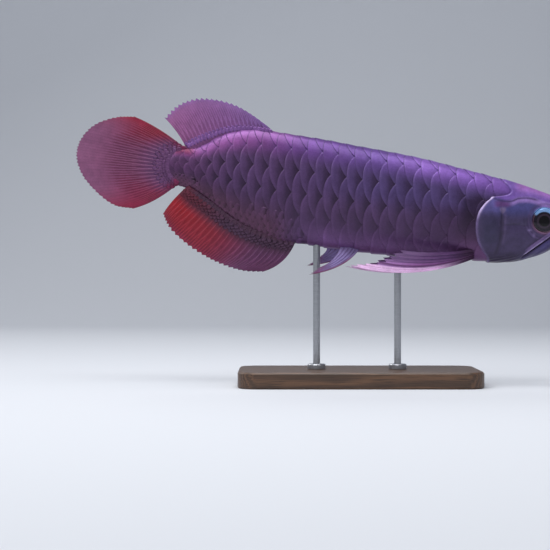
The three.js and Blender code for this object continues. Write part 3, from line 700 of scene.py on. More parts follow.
def skin(material):
    """One closed skin: rings along the fish, each a row of points round its girth.

    Under the scales it lies deeper by the coat. At the gill opening the rings turn back under the cover's
    free edge, run along the gutter's floor and go on, so the edge is a real flap that nearby rings follow.
    """
    around = 288
    tail_end = FLESH_END + 6 * np.linspace(0, 1, 13)[1:] ** 2
    body = np.linspace(FLESH_END + 6, 389, 70)[1:]
    gutter = np.linspace(389, 400.6, 11)[1:]
    # Stations from the gill edge and depths, from the gutter's floor under the flap and round to its outside
    flap = np.array([
        (-2.2, -3.1), (-1.2, -3.3), (-0.2, -3.4), (0.9, -3.35), (1.9, -3.05), (2.3, -2.4), (1.9, -1.9),
        (0.9, -1.6), (0.25, -1.4), (0.02, -1.05), (-0.02, -0.65), (0.14, -0.28), (0.5, -0.06), (1.0, 0.0),
    ])
    rim = np.linspace(400.9, 405, len(flap))
    head = np.linspace(405.5, SNOUT - 4, 202)
    nose = SNOUT - 4 * np.linspace(1, 0, 17)[1:-1] ** 2
    stations = np.concatenate([tail_end, body, gutter, rim, head, nose])
    first = len(tail_end) + len(body) + len(gutter)
    flap_rings = slice(first, first + len(flap))
    t, turn = np.meshgrid(stations, np.arange(around) / around, indexing="ij")
    # The ring at this station follows the gill edge, and those about it lean with it
    hold = 404.0
    pull = step(t, 380, hold) * (1 - step(t, hold + 1, 430))
    s = t.copy()
    for _ in range(3):
        z = on_body(s, turn)[..., 2]
        edge = gill_edge_at(z)
        s = t + pull * (edge - hold)
    open_gill = 1 - step(z, GILL_TOP - 5, GILL_TOP + 0.8)
    flap_s = s.copy()
    flap_s[flap_rings] = edge[flap_rings] + flap[:, :1]
    s = s + (flap_s - s) * open_gill
    base = on_body(s, turn)
    y, z = base[..., 1], base[..., 2]
    depth = coat_depth(s)
    slant = nape_at(z + 0.5) - nape_at(z - 0.5)
    past_nape = (s - nape_at(z)) / np.sqrt(1 + slant * slant)
    covered = (1 - step(past_nape, -1.3, 1.1)) * step(z, GILL_TOP - 3, GILL_TOP + 1)
    behind = s < edge
    relief = head_relief(s, y, z)
    plain = np.where(behind, -depth, relief)
    closed = np.where(covered > 0, -depth * covered + (1 - covered) * relief, plain)
    opened = np.where(behind, -depth - step(s, edge - 14, edge - 3) * (3.1 - depth), relief)
    opened[flap_rings] = flap[:, 1:] + 0.1
    lift = closed * (1 - open_gill) + opened * open_gill
    normal = out_of_body(np.clip(s, STATIONS[0] + 1, STATIONS[-1] - 1), turn)
    thin = np.clip(np.hypot(y, z - (back_at(s) + belly_at(s)) / 2) / 6, 0, 1)
    points = base + normal * (lift * thin)[..., None]
    tail_pole = np.array([[FLESH_END + 0.4, 0, (back_at(FLESH_END) + belly_at(FLESH_END)) / 2]])
    nose_pole = np.array([[SNOUT, 0, SNOUT_HIGH]])
    # Colour: the body's markings in the scales' dark base colour (pigment with painted shade), the head's
    # own, and painted shade inside the gutter under the gill cover
    on_head = (s > edge - 0.3) * 1.0
    on_head[first : first + 7] = 0
    on_head = on_head * open_gill + (1 - covered) * (s > nape_at(z) - 1) * (1 - open_gill)
    tint = mix(markings(s, z, np.ones(s.shape)), head_colour(s, y, z), on_head)
    # Painted shade inside the gutter under the gill cover's free edge.
    gutter_shade = hump((s - edge + 1) / 3.4, 1) * open_gill * (1 - on_head)
    tint = mix(tint, "#150d1c", 0.85 * gutter_shade)
    quads, i, j = closed_faces(len(stations), around, wrap_columns=True)
    maps = [np.stack([j / around, 0.01 + 0.98 * i / (len(stations) - 1)], -1)]
    caps = []
    count = len(stations) * around
    k = np.arange(around)
    for pole, ring, near, far, low, high in (
        (count, 0, k, k + 1, 0.0, 0.01), (count + 1, count - around, k + 1, k, 1.0, 0.99)
    ):
        caps.append(np.stack([np.full(around, pole), ring + near % around, ring + far % around], 1))
        u = np.stack([k + 0.5, near, far], 1) / around
        maps.append(np.stack([u, np.broadcast_to([low, high, high], u.shape)], -1))
    ends = np.vstack([tint[0].mean(0), tint[-1].mean(0)])
    return make(
        "skin", np.vstack([points.reshape(-1, 3), tail_pole, nose_pole]), [quads, *caps], maps,
        material, np.vstack([tint.reshape(-1, 3), ends]),
        replaced=(
            "head", "lower_jaw", "trunk", "tail", "gill_cover_right", "gill_cover_left",
            "cheek_plate_right", "cheek_plate_left", "upper_jaw_right", "upper_jaw_left",
        ),
    )


# The scales

COLUMN_STATIONS = np.linspace(450, 84, 1465)
COLUMN_COUNTS = np.concatenate([[0], np.cumsum(0.25 / scale_length_at(COLUMN_STATIONS[:-1]))])
COLUMN_PHASE = -0.02


def station_of(column):
    """The station at a count of scales from the nape towards the tail."""
    return np.interp(column, COLUMN_COUNTS, COLUMN_STATIONS)


def plates(name, columns, rows, pitch, length, depth, material, cell, tint_of, count):
    """Scales over the flesh, each a closed plate on a grid that follows the body, count points across.

    b runs from the plate's root to its free edge, which lies 0.54 - 0.56 |across|^2.7 past its node. It
    rises along b from the skin to just under the body's outline, and sinks a little to its two sides.
    """
    across = np.linspace(-1, 1, count)[None, None, :]
    b = np.array([0, 0.22, 0.42, 0.6, 0.75, 0.87, 0.95, 0.99, 1.0, 0.975, 0.86, 0.45])[None, :, None]
    drop = np.array([0, 0, 0, 0, 0, 0, 0.015, 0.07, 0.17, 0.24, 0.27, 0.2])[None, :, None]
    # The first steps of b are the plate's top, and the rest go round its free edge and under it
    top_count = 8
    edge = length * (0.54 - 0.56 * np.abs(across) ** 2.7)
    root = length * (-1.05 + 0.25 * across**2)
    along = root + (edge - root) * b
    s = station_of(columns[:, None, None] + along)
    turn = rows[:, None, None] + across * 1.06 * pitch + 0 * along
    size = depth * scale_length_at(station_of(columns))[:, None, None] / LARGEST_SCALE
    lift = -0.12 - (COAT * 0.96 * (1 - b**0.85) + 2 * drop) * size
    lift = lift - 0.5 * across**2 * size * (0.35 + 0.65 * b)
    # Under the gill cover a plate's root is drawn in, so it ends short of the groove in the cover
    z = on_body(s, turn)[..., 2]
    under = s - gill_edge_at(z) - 2
    drawn_in = np.maximum(under, 0) - 7 * np.tanh(np.maximum(under, 0) / 7)
    s = s - drawn_in * (1 - step(z, GILL_TOP - 5, GILL_TOP))
    base = on_body(s, turn)
    normal = out_of_body(s, turn)
    points = base + normal * lift[..., None]
    ahead = edge - along
    tint = tint_of(s, base[..., 2], ahead, across + 0 * along)
    shape = s.shape
    quads, i, j = closed_faces(shape[1], shape[2], wrap_rows=True)
    quads = quads[:, [0, 3, 2, 1]]
    i, j = i[:, [0, 3, 2, 1]], j[:, [0, 3, 2, 1]]
    per = shape[1] * shape[2]
    offset = (np.arange(shape[0]) * per)[:, None, None]
    faces = (quads[None] + offset).reshape(-1, 4)
    ring = np.arange(shape[1]) * shape[2]
    caps = np.stack([ring, (ring + shape[2] - 1)[::-1]])
    cap_faces = (caps[None] + offset).reshape(-1, shape[1])
    # Each plate's patch lies at its own place on the body's unwrap: girth across, count of scales up
    wide, tall = cell
    order = np.concatenate([b[0, :top_count, 0] * 0.82, np.linspace(0.86, 0.97, shape[1] - top_count), [1.0]])
    home = np.stack([(rows + 0.5 / SCALE_ROWS) % 1, columns / COLUMN_COUNTS[-1]], -1)[:, None, None]
    u = (j / (shape[2] - 1) - 0.5) * 0.94 * wide
    v = (order[i] - 0.5) * 0.94 * tall
    maps = (home + np.stack([u, v], -1)[None]).reshape(-1, 4, 2)
    turn_cap = np.linspace(0, 2 * np.pi, shape[1], endpoint=False)
    small = 0.01 * np.stack([wide * np.cos(turn_cap), tall * np.sin(turn_cap)], -1)
    sides = np.array([[-0.485 * wide, 0], [0.485 * wide, 0]])
    cap_maps = (home + sides[None, :, None] + small[None, None]).reshape(-1, shape[1], 2)
    from_edge = np.broadcast_to(ahead, shape) * scale_length_at(s)
    return make(
        name, points.reshape(-1, 3), [faces, cap_faces], [np.clip(maps, 0, 1), np.clip(cap_maps, 0, 1)],
        material, tint, {"from_edge": from_edge},
    )


def row_offset(k):
    """Half a scale on every other row, counted from the back down both sides alike."""
    return 0.5 * (min(k, SCALE_ROWS - k) % 2)


def large_tint(seed, lower):
    """The large plates' colour: the body's markings, dark at each base with pigment and painted shade, a
    painted highlight along the upper part of the rim and a thin dark outline of painted shadow.

    lower is 1 where rising q runs towards the belly, as on the left side, and -1 on the right.
    """
    own = np.random.default_rng(seed)

    def tint_of(s, z, ahead, across):
        """The colour at a station and height, and at a plate's share of length ahead and share across."""
        up = height_share(s, z)
        back = step(up, 0.73, 0.89)
        plain = 1 - step(up, 0.1, 0.4)
        down = np.clip(across * lower, 0, 1)
        # Dark base: pigment with painted shade under the overlapping plate, reaching further on the plate's
        # lower side, where less light falls from above.
        base = 0.9 * step(ahead + 0.35 * down**1.5, 0.22, 0.86) * (1 - 0.75 * back) * (1 - 0.6 * plain)
        base = base * (1 - 0.3 * step(s, 300, 360)) * (0.45 + 0.55 * step(s, 98, 150))
        colour = markings(s, z, base)
        colour = lay(
            colour,
            # Thin dark outline on the back rows at both ends of each plate: painted shadow lines between the
            # plates.
            ("#3d2a63", 0.75 * back * step(ahead, 0.88, 0.97)),
            ("#3a2857", 0.7 * back * (1 - step(ahead, 0.015, 0.06))),
        )
        # Painted highlight along the upper part of the free edge, where light from above catches it.
        rim_highlight = 0.3 * hump(ahead - 0.06, 0.055) * (1 - step(np.abs(across), 0.75, 1.0)) * (1 - down)
        rim_highlight = rim_highlight * (1 - back) * (1 - 0.8 * step(s, 300, 380) * (1 - step(up, 0.45, 0.6)))
        colour = mix(colour, colour * 1.7 + 0.01, rim_highlight)
        vary = own.uniform(0.9, 1.1, (s.shape[0], 1, 1))
        return colour * vary[..., None]

    return tint_of


def scales(material):
    """The large plates in eleven rows, a half pitch apart: the row along the back, and those of each side."""
    last = int(np.interp(-94, -COLUMN_STATIONS, COLUMN_COUNTS))
    nodes = []
    for k in range(SCALE_ROWS):
        columns = np.arange(0, last + 1) + row_offset(k) + COLUMN_PHASE
        s = station_of(columns)
        height = on_body(s, np.full(len(s), k / SCALE_ROWS))[:, 2]
        limit = np.where(height > GILL_TOP - 3, nape_at(height) - 1, gill_edge_at(height) + 1)
        keep = (station_of(columns + 0.5) < limit) & (s > ROW_ENDS.get(k, 90.5))
        nodes.append(np.stack([columns[keep], np.full(keep.sum(), k / SCALE_ROWS)], 1))
    columns, rows = np.concatenate(nodes).T
    cell = (1 / SCALE_ROWS, 1 / COLUMN_COUNTS[-1])
    for side, lower, chosen in (
        ("back", 0, rows == 0), ("left", 1, (rows > 0) & (rows < 0.5)), ("right", -1, rows > 0.5)
    ):
        plates(
            "scales_" + side, columns[chosen], rows[chosen], 1 / SCALE_ROWS, 1.0, 1.0, material, cell,
            large_tint(len(side), lower), 13,
        )


def small_plates(name, centre, ahead, across, outward, width, tint, material, uv_home, uv_size):
    """Small scales: each a shallow dome of a centre and two rings of eight points over a buried centre.

    Its outline is a leaf, longer towards the tail, and it tilts so that its free edge stands proud.
    """
    around = 8
    each = 2 * around + 2
    turn = np.concatenate([[0], np.tile(np.linspace(0, 2 * np.pi, around, endpoint=False), 2), [0]])
    radii = np.repeat([0.0, 0.66, 1.0, 0.0], [1, around, around, 1])
    rise = np.repeat([0.62, 0.55, 0.1, -0.9], [1, around, around, 1])
    x, y = radii * np.cos(turn), radii * np.sin(turn)
    points = (
        centre[:, None]
        + ahead[:, None] * x[None, :, None] * (width * 1.15)[:, None, None]
        + across[:, None] * y[None, :, None] * width[:, None, None]
        + outward[:, None] * (0.5 * (rise + 0.45 * x))[None, :, None]
    )
    k = np.arange(around)
    nxt = (k + 1) % around
    tris = np.concatenate([
        np.stack([0 * k, 1 + k, 1 + nxt], 1),
        np.stack([0 * k + each - 1, 1 + around + nxt, 1 + around + k], 1),
    ])
    quads = np.stack([1 + k, 1 + around + k, 1 + around + nxt, 1 + nxt], 1)
    if np.cross(ahead[0], across[0]) @ outward[0] < 0:
        tris, quads = tris[:, ::-1], quads[:, ::-1]
    offset = (np.arange(len(centre)) * each)[:, None, None]
    flat = 0.5 * np.stack([x, y], 1) * uv_size
    flat[-1] = 0.02 * uv_size
    corner = uv_home[:, None, :] + flat[None]
    maps = [corner[:, tris].reshape(-1, 3, 2), corner[:, quads].reshape(-1, 4, 2)]
    faces = [(tris[None] + offset).reshape(-1, 3), (quads[None] + offset).reshape(-1, 4)]
    rim = np.broadcast_to((radii > 0.9) * 1.0, (len(centre), each))
    colour = tint[:, None, :] * (1.12 - 0.25 * (x < -0.5) - 0.12 * (radii > 0.9))[None, :, None]
    return make(name, points.reshape(-1, 3), faces, maps, material, colour, {"from_edge": rim})


def sheath(material):
    """Small scales between the large ones and the anal fin: up to six close rows a side, shaped alike."""
    pitch, share = 0.0262, 0.4
    ends = np.interp(-np.array([224.0, 98.0]), -COLUMN_STATIONS, COLUMN_COUNTS)

    def tint_of(s, z, ahead, across):
        """The body's markings, darker from the root of each scale with pigment and painted shade as at the
        large plates' bases, and each of its own lightness.
        """
        rise = step(ahead / share, 0.35, 0.9)
        return markings(s, z, 0.2 + 0.6 * rise) * (own[:, None, None] * (1.3 - 0.6 * rise))[..., None]

    for hand, side in ((1, "left"), (-1, "right")):
        nodes = []
        for n in range(6):
            columns = np.arange(ends[0], ends[1], share) + 0.5 * share * (n % 2)
            s = station_of(columns)
            keep = n < 2.2 + 2.6 * step(s, 128, 200) * (1 - step(s, 205, 224)) + 3 * (1 - step(s, 118, 132))
            turn = 0.5 - 0.012 - pitch * n
            nodes.append(np.stack([columns[keep], np.full(keep.sum(), turn if hand > 0 else 1 - turn)], 1))
        nodes = np.concatenate(nodes)
        own = RANDOM.uniform(0.85, 1.15, len(nodes))
        cell = (pitch, share / COLUMN_COUNTS[-1])
        plates("sheath_" + side, *nodes.T, pitch, share, 0.62, material, cell, tint_of, 7)


# The fins


# A ray's thickness at its foot and its tip
FIN_THICK = (1.7, 0.5)


def fin_surface(outline):
    """A fin's middle surface: lines from its root curve to its tip curve, each bowed by a parabola."""
    root, tip = spline(outline["root"]), spline(outline["tip"])
    first, last = np.array(outline["bow"], float)

    def at(u, w):
        """The place at a share u across the rays and w along them, bent by the bow and by a small wave."""
        u, w = np.broadcast_arrays(u, w)
        start = root(u)
        bend = first + (last - first) * u[..., None]
        wave = (outline["wave"] * np.sin(u * 17 + 1.3) * w * w)[..., None] * [0.0, 1.0, 0.0]
        return start + (tip(u) - start) * w[..., None] + bend * (4 * w * (1 - w))[..., None] + wave

    return at


def fin_normal(at, u, w):
    """Square to a fin's surface: across its rays crossed with along them."""
    near, far = np.clip(u - 0.002, 0, 1), np.clip(u + 0.002, 0, 1)
    return unit(np.cross(at(far, w) - at(near, w), at(u, w + 0.002) - at(u, w - 0.002)))


def ray_height(phase, w, split):
    """A ray's ridge across one spacing, phase 0 on the ray: a bell that parts in two, then four, outwards."""
    phase = np.abs((phase + 0.5) % 1 - 0.5)
    apart = 0.24 * step(w, split, split + 0.28)
    again = step(w, split + 0.3, split + 0.55)
    ridge = hump(phase - apart - 0.12 * again, 0.13) + hump(phase - apart + 0.12 * again, 0.13) * again
    return np.clip(ridge, 0, 1)


def swelling(outline, w):
    """How much flesh thickens a fin's foot: a height that falls as a parabola over a share of the rays."""
    height, share = outline.get("swell", (0.0, 0.1))
    return height * (1 - np.clip(w / share, 0, 1)) ** 2


def fin(name, outline, colour_of, material):
    """One closed fin: two sheets about its middle surface, thicker on the rays and notched between them.

    It has per_ray columns of points to a spacing, in rows along the rays. Its rays part from the share split
    on, and ridge is the share of its thickness that lies in them.
    """
    at = fin_surface(outline)
    rays, per_ray, rows = outline["rays"], outline["per_ray"], outline["rows"]
    split, ridge = outline["split"], outline["ridge"]
    columns = per_ray * (rays - 1) + 1
    u, v = np.meshgrid(np.linspace(0, 1, columns), np.linspace(0, 1, rows) ** 0.9, indexing="ij")
    phase = u * (rays - 1)
    reach = np.linalg.norm(at(u, np.ones_like(u)) - at(u, np.zeros_like(u)), axis=-1)
    between = np.abs((phase * outline.get("teeth", 1) + 0.5) % 1 - 0.5) * 2
    ragged = outline["notch"] * between ** outline.get("spike", 0.8) * (1 + 0.15 * np.sin(phase * 5.3))
    w = v * (1 - ragged / reach)
    ray = ray_height(phase, w, split)
    middle = at(u, w)
    normal = fin_normal(at, u, w)
    body = FIN_THICK[0] + (FIN_THICK[1] - FIN_THICK[0]) * step(w, 0.0, 0.85)
    close = np.sqrt(np.clip(1 - ((v - 0.97) / 0.03).clip(0, 1) ** 2, 0.05, 1))
    edge = np.sqrt(np.clip(np.minimum(phase, rays - 1 - phase) / 0.3, 0.06, 1))
    half = (0.5 * (body * (1 - ridge + ridge * 2 * ray) + 0.08) + swelling(outline, w)) * close * edge
    near = middle + normal * half[..., None]
    far = middle - normal * half[..., None]
    tint = colour_of(u, w, ray)
    points = np.stack([near, far])
    quads, i, j = closed_faces(columns, rows)
    count = columns * rows
    back = quads[:, ::-1] + count
    c = np.arange(columns - 1)
    r = np.arange(rows - 1)

    def strip(a, b):
        """A rim's quads, which join the two sheets and turn the same way as they do."""
        return np.stack([a + count, b + count, b, a], 1)

    def flat(column, row):
        """The map of one sheet: columns across the left half and rows up it."""
        return np.stack([0.02 + 0.46 * column / (columns - 1), 0.02 + 0.96 * row / (rows - 1)], -1)

    rims = [
        strip(c * rows + rows - 1, (c + 1) * rows + rows - 1),
        strip((c + 1) * rows, c * rows),
        strip(r, r + 1),
        strip((columns - 1) * rows + r + 1, (columns - 1) * rows + r),
    ]
    maps = [flat(i, j), flat(i, j)[:, ::-1] + [0.5, 0.0]]
    for faces in rims:
        outward = np.where(faces >= count, -0.004, 0.0)
        maps.append(flat(faces % count // rows, faces % count % rows) + outward[..., None])
    along = w * reach
    return make(
        name + "_rays", points.reshape(-1, 3), [quads, back, *rims], maps, material,
        np.stack([tint, tint]), {"ray": np.stack([ray, ray]), "along": np.stack([along, along])}, (name,),
    )


def dorsal_colour(u, w, ray):
    """Mauve rays over a plum web, pinker to the rear and darker at the base."""
    return lay(
        mix("#6e4c84", "#824a78", u),
        (mix("#8f70b6", "#ac6fa2", u), 0.6 * ray * step(w, 0.05, 0.2)),
        ("#4c2c58", 0.6 * (1 - step(w, 0.06, 0.22))),
        ("#8f6cb4", 0.45 * step(w, 0.86, 1.0)),
    )


def anal_colour(u, w, ray):
    """Blood red to the rear, plum in front and at the base, with a darker free edge and fine paler rays."""
    return lay(
        mix("#593052", "#80202f", step(u, 0.2, 0.66)),
        ("#931c27", step(u, 0.6, 0.9) * band(w, 0.3, 0.85, 0.3)),
        ("#4c3045", (1 - step(w, 0.14, 0.46)) * (1 - 0.4 * step(u, 0.85, 1))),
        ("#72204a", 0.6 * step(w, 0.8, 1.0) * step(u, 0.25, 0.5)),
        (mix("#7d5080", "#ab3848", step(u, 0.2, 0.6)), 0.4 * ray * step(w, 0.16, 0.45)),
        ("#5c2140", 0.55 * ray * (1 - step(u, 0.14, 0.36)) * step(w, 0.3, 0.7)),
        ("#4a1a34", 0.45 * (1 - ray) * step(w, 0.5, 0.95) * step(u, 0.2, 0.5)),
    )


def caudal_colour(u, w, ray):
    """Crimson along both margins, plum in the middle, purple where the scales end and paler at the rim."""
    margin = np.abs(u - 0.48) * 2
    return lay(
        mix("#622b4a", "#77132b", step(margin, 0.2, 0.68) * (1 - 0.25 * (u > 0.5))),
        ("#6f1a40", 0.6 * step(u, 0.55, 0.8)),
        ("#7f5575", 0.75 * step(w, 0.55, 0.95) * (1 - step(margin, 0.5, 0.9))),
        ("#66406a", (1 - step(w, 0.12, 0.45)) * (1 - 0.5 * step(margin, 0.7, 1))),
        (mix("#93587e", "#9a2f4a", step(margin, 0.4, 0.9)), 0.5 * ray * step(w, 0.02, 0.12)),
        ("#43203a", 0.08 * (1 - ray) * step(w, 0.05, 0.2) * (1 - step(w, 0.75, 1))),
    )


def pectoral_colour(u, w, ray):
    """A bright pink leading ray along the bottom edge, then dark plum rays over a web, paler to the tips."""
    return lay(
        mix("#88568f", "#3b2650", 0.9 * ray),
        ("#a87cba", 0.7 * step(w, 0.5, 1.0) * (1 - 0.6 * ray)),
        ("#49305a", 0.8 * step(u, 0.5, 0.66)),
        ("#ffd0fb", (1 - step(u, 0.26, 0.4)) * step(w, 0.02, 0.35)),
        ("#5a2f5c", 0.8 * hump(u - 0.44, 0.035) + 0.35 * hump(u - 0.2, 0.02)),
        ("#3a1e3a", 0.8 * (1 - step(w, 0.04, 0.36))),
    )


def pelvic_colour(u, w, ray):
    """A thin greyish-lilac web between dark wine rays, redder at the tips."""
    return lay(
        mix("#8777ac", "#66466f", 0.7 * ray),
        ("#6d3055", 0.9 * (1 - step(u, 0.06, 0.2)) * step(w, 0.05, 0.4)),
        ("#7d3257", 0.6 * step(w, 0.6, 1.0)),
        ("#54406a", 0.6 * (1 - step(w, 0.02, 0.3))),
    )


DORSAL = {
    "root": [(197, 0, 250), (174, 0, 251.5), (152, 0, 247), (132, 0, 238.5), (113, 0, 231.5)],
    "tip": [
        (188.5, 0, 260.5), (175, 0, 271.5), (157, 0, 281.5), (138, 0, 286.2), (119, 0, 286.6),
        (102, 0, 280.2), (88.7, 0, 267.5),
    ],
    "bow": [(2, 0, 1), (2, 0, 1)], "rays": 24, "notch": 2.5, "wave": 0.7, "swell": (1.5, 0.2),
    "per_ray": 11, "rows": 60, "split": 0.3, "ridge": 0.45,
}
ANAL = {
    "root": [(221, 0, 146), (190, 0, 151.5), (160, 0, 165.5), (136, 0, 183.5), (112.5, 0, 199.5)],
    "tip": [
        (186, 0, 113), (166.4, 0, 114), (146.4, 0, 120), (128.4, 0, 128.7), (109.4, 0, 141.5),
        (93, 0, 157.5), (87.2, 0, 170.5),
    ],
    "bow": [(4, 0, -5), (-3, 0, -1)], "rays": 26, "notch": 2.4, "wave": 0.8, "swell": (4.5, 0.36),
    "per_ray": 11, "rows": 60, "split": 0.5, "ridge": 0.55,
}
CAUDAL = {
    "root": [(111, 0, 235.5), (99, 0, 231), (94.5, 0, 219), (98, 0, 208), (105, 0, 203.5)],
    "tip": [
        (58, 0, 268.8), (40, 0, 268), (17, 0, 259.5), (3.5, 0, 244.5), (0.2, 0, 229.5), (5, 0, 212),
        (18, 0, 195), (38, 0, 179.8), (57, 0, 176.3),
    ],
    "bow": [(0, 0, 3), (0, 0, -4)], "rays": 22, "notch": 1.7, "wave": 0.9, "teeth": 2,
    "per_ray": 13, "rows": 76, "split": 0.2, "ridge": 0.3,
}
PECTORAL = {
    "root": [(398, 5.5, 126.8), (397.5, 10, 131), (396, 13.5, 136)],
    "tip": [(272, 56, 119.2), (280.6, 54, 120.6), (296, 50, 121.8), (306.5, 44, 125.8), (313, 38, 129.5),
            (322, 31, 134.4)],
    "bow": [(0, 8, -10.5), (0, 5, -3)], "rays": 8, "notch": 6.5, "wave": 0.0, "spike": 1.2,
    "per_ray": 14, "rows": 80, "split": 0.7, "ridge": 0.55,
}
PELVIC_RIGHT = {
    "root": [(283.5, -5, 135.5), (275, -5.5, 137), (265, -4.5, 139)],
    "tip": [(232.5, -24, 110.2), (236, -22, 112.8), (240.5, -20, 116), (247, -17, 118.5)],
    "bow": [(5, -2, -4), (2, -1, -2)], "rays": 6, "notch": 6, "wave": 0.0, "spike": 1.4,
    "per_ray": 12, "rows": 48, "split": 0.5, "ridge": 0.55,
}
PELVIC_LEFT = {
    "root": [(280, 5, 136.5), (267, 5.5, 138.5), (252, 4.5, 140.5)],
    "tip": [(231, 24, 119.3), (234.5, 21.5, 121.5), (239, 18, 124.5), (245, 13.5, 129)],
    "bow": [(5, 2, -3), (2, 1, -1)], "rays": 7, "notch": 6, "wave": 0.0, "spike": 1.4,
    "per_ray": 12, "rows": 48, "split": 0.5, "ridge": 0.55,
}


def to_right(outline):
    """An outline mirrored to the fish's right side."""
    return outline | {key: [(s, -y, z) for s, y, z in outline[key]] for key in ("root", "tip", "bow")}


def fins(material):
    """All seven fins, each in the place of its own node."""
    fin("dorsal_fin", DORSAL, dorsal_colour, material)
    fin("anal_fin", ANAL, anal_colour, material)
    fin("caudal_fin", CAUDAL, caudal_colour, material)
    fin("pectoral_fin_left", PECTORAL, pectoral_colour, material)
    fin("pectoral_fin_right", to_right(PECTORAL), pectoral_colour, material)
    fin("pelvic_fin_left", PELVIC_LEFT, pelvic_colour, material)
    fin("pelvic_fin_right", PELVIC_RIGHT, pelvic_colour, material)


def fin_scales(name, outline, levels, per_ray, size, shrink, tint_of, material):
    """Rows of small scales on both faces of a fin's base, lying along its rays."""
    at = fin_surface(outline)
    count = int(per_ray * (outline["rays"] - 1))
    groups = []
    for side in (1, -1):
        for n, level in enumerate(levels):
            u = (np.arange(count) + 0.5 + 0.5 * (n % 2)) / (count + 0.5)
            w = np.full(count, level)
            outward = fin_normal(at, u, w) * side
            ahead = unit(at(u, w + 0.01) - at(u, w - 0.01))
            width = size * shrink**n * RANDOM.uniform(0.92, 1.08, count)
            place = at(u, w)
            s, z = place[:, 0], place[:, 2]
            on_flesh = np.where(s > FLESH_END, flank(np.maximum(s, FLESH_END + 0.1), z), 0)
            lift = np.maximum(0.7 + swelling(outline, w), on_flesh - 0.1)[:, None]
            groups.append((place + outward * lift, ahead, np.cross(outward, ahead), outward, width, u, w))
    centre, ahead, across, outward, width, u, w = (np.concatenate(group) for group in zip(*groups))
    half = np.repeat([0.0, 0.5], len(width) // 2)
    home = np.stack([half + 0.02 + 0.46 * u, 0.02 + 0.96 * w], 1)
    tint = tint_of(u, w) * RANDOM.uniform(0.88, 1.12, len(u))[:, None]
    small_plates(name, centre, ahead, across, outward, width, tint, material, home, 0.004)


def fin_bases(material):
    """The scales at the feet of the three fins in the fish's middle plane."""
    fin_scales(
        "scales_caudal_base", CAUDAL, (0.025, 0.06, 0.095, 0.13, 0.165), 0.62, 3.0, 0.93,
        lambda u, w: mix("#644068", "#6d2244", step(np.abs(u - 0.48), 0.3, 0.48)), material,
    )
    fin_scales(
        "scales_dorsal_base", DORSAL, (0.16, 0.225), 1.0, 2.4, 0.8,
        lambda u, w: mix("#7d5593", "#5a3a70", step(w, 0.2, 0.3)), material,
    )
    fin_scales(
        "scales_anal_base", ANAL, (0.09, 0.13, 0.17, 0.21), 0.9, 2.9, 0.92,
        lambda u, w: mix("#4e364c", "#642c3c", step(u, 0.5, 0.9)), material,
    )


# Eyes, their rims and the barbels


def polar(rings, around, flip):
    """Faces of a closed round piece, a pole, rings and a last pole, turned over where flip is true."""
    k = np.arange(around)
    nxt = (k + 1) % around
    first = np.stack([0 * k, 1 + k, 1 + nxt], 1)
    last_ring = 1 + (rings - 1) * around
    last = np.stack([0 * k + 1 + rings * around, last_ring + nxt, last_ring + k], 1)
    start = 1 + np.arange(rings - 1)[:, None] * around
    quads = np.stack([start + k, start + around + k, start + around + nxt, start + nxt], -1).reshape(-1, 4)
    return [f[:, ::-1] if flip else f for f in (first, quads, last)]


def disc_map(radius, turn, rings):
    """A round piece laid flat, its rings as circles of a radius from 0 at its first pole to 1 at its last."""
    spin = np.concatenate([[0.0], np.tile(turn, rings), [0.0]])
    return 0.5 + 0.49 * np.stack([radius * np.cos(spin), radius * np.sin(spin)], 1)


def side_name(piece, side):
    """The name of a piece on the fish's left or right."""
    return piece + ("_left" if side > 0 else "_right")


def eye(side, material):
    """An eyeball: an ellipse turned about its axis, a shallow dome outside and deeper behind.

    Its colours are rings about the pupil: black, a brownish ring, a dark iris, then silver, and above a pale
    blue crescent, partly a silvery rim and partly a painted reflection of light from above.
    """
    around, rings = 96, 44
    t = np.linspace(0, np.pi, rings + 2)[1:-1]
    radius = EYE["radius"] * np.sin(t)
    height = np.where(t < np.pi / 2, EYE["dome"], EYE["depth"]) * np.cos(t)
    turn = np.linspace(0, 2 * np.pi, around, endpoint=False)
    r, a = np.meshgrid(radius, turn, indexing="ij")
    h = np.repeat(height[:, None], around, 1)
    middle = np.array([EYE["s"], EYE["y"], EYE["z"]])
    ring_points = middle + np.stack([r * np.cos(a), h, r * np.sin(a)], -1).reshape(-1, 3)
    points = np.vstack([middle + [0, EYE["dome"], 0], ring_points, middle - [0, EYE["depth"], 0]])
    far = np.hypot(points[:, 0] - PUPIL[0], points[:, 2] - PUPIL[1])
    angle = np.arctan2(points[:, 2] - PUPIL[1], points[:, 0] - PUPIL[0])
    streak = 0.5 + 0.5 * np.sin(angle * 31 + 2 * np.sin(angle * 7))
    above = step(np.sin(angle), 0.5, 0.75)
    outer = step(far, 9.0, 9.9)
    c = lay(
        mix("#110a17", "#1f1527", 0.6 * streak),
        ("#3c303f", 0.75 * band(far, PUPIL_RADIUS + 0.3, PUPIL_RADIUS + 2.0, 0.9)),
        ("#040206", 1 - step(far, PUPIL_RADIUS - 0.3, PUPIL_RADIUS + 0.4)),
        ("#6b4a5e", 0.7 * step(far, 10.0, 11.0) * (1 - above)),
        # Pale blue crescent above: silvery rim with a painted reflection of light from above.
        ("#8fb8ee", above * outer),
    )
    behind = points[:, 1] < EYE["y"] - 0.5
    c[behind] = linear("#1d1427")
    silver = np.where(behind, 0.0, 0.5 * above * outer + 0.25 * band(far, 5.5, 7.4, 0.8))
    points[:, 1] *= side
    faces = polar(rings, around, side > 0)
    disc = disc_map(np.concatenate([[0.0], np.repeat(t / np.pi, around), [1.0]]), turn, rings)
    name = side_name("eye", side)
    maps = [disc[f] for f in faces]
    return make(name + "_glass", points, faces, maps, material, c, {"silver": silver}, (name,))


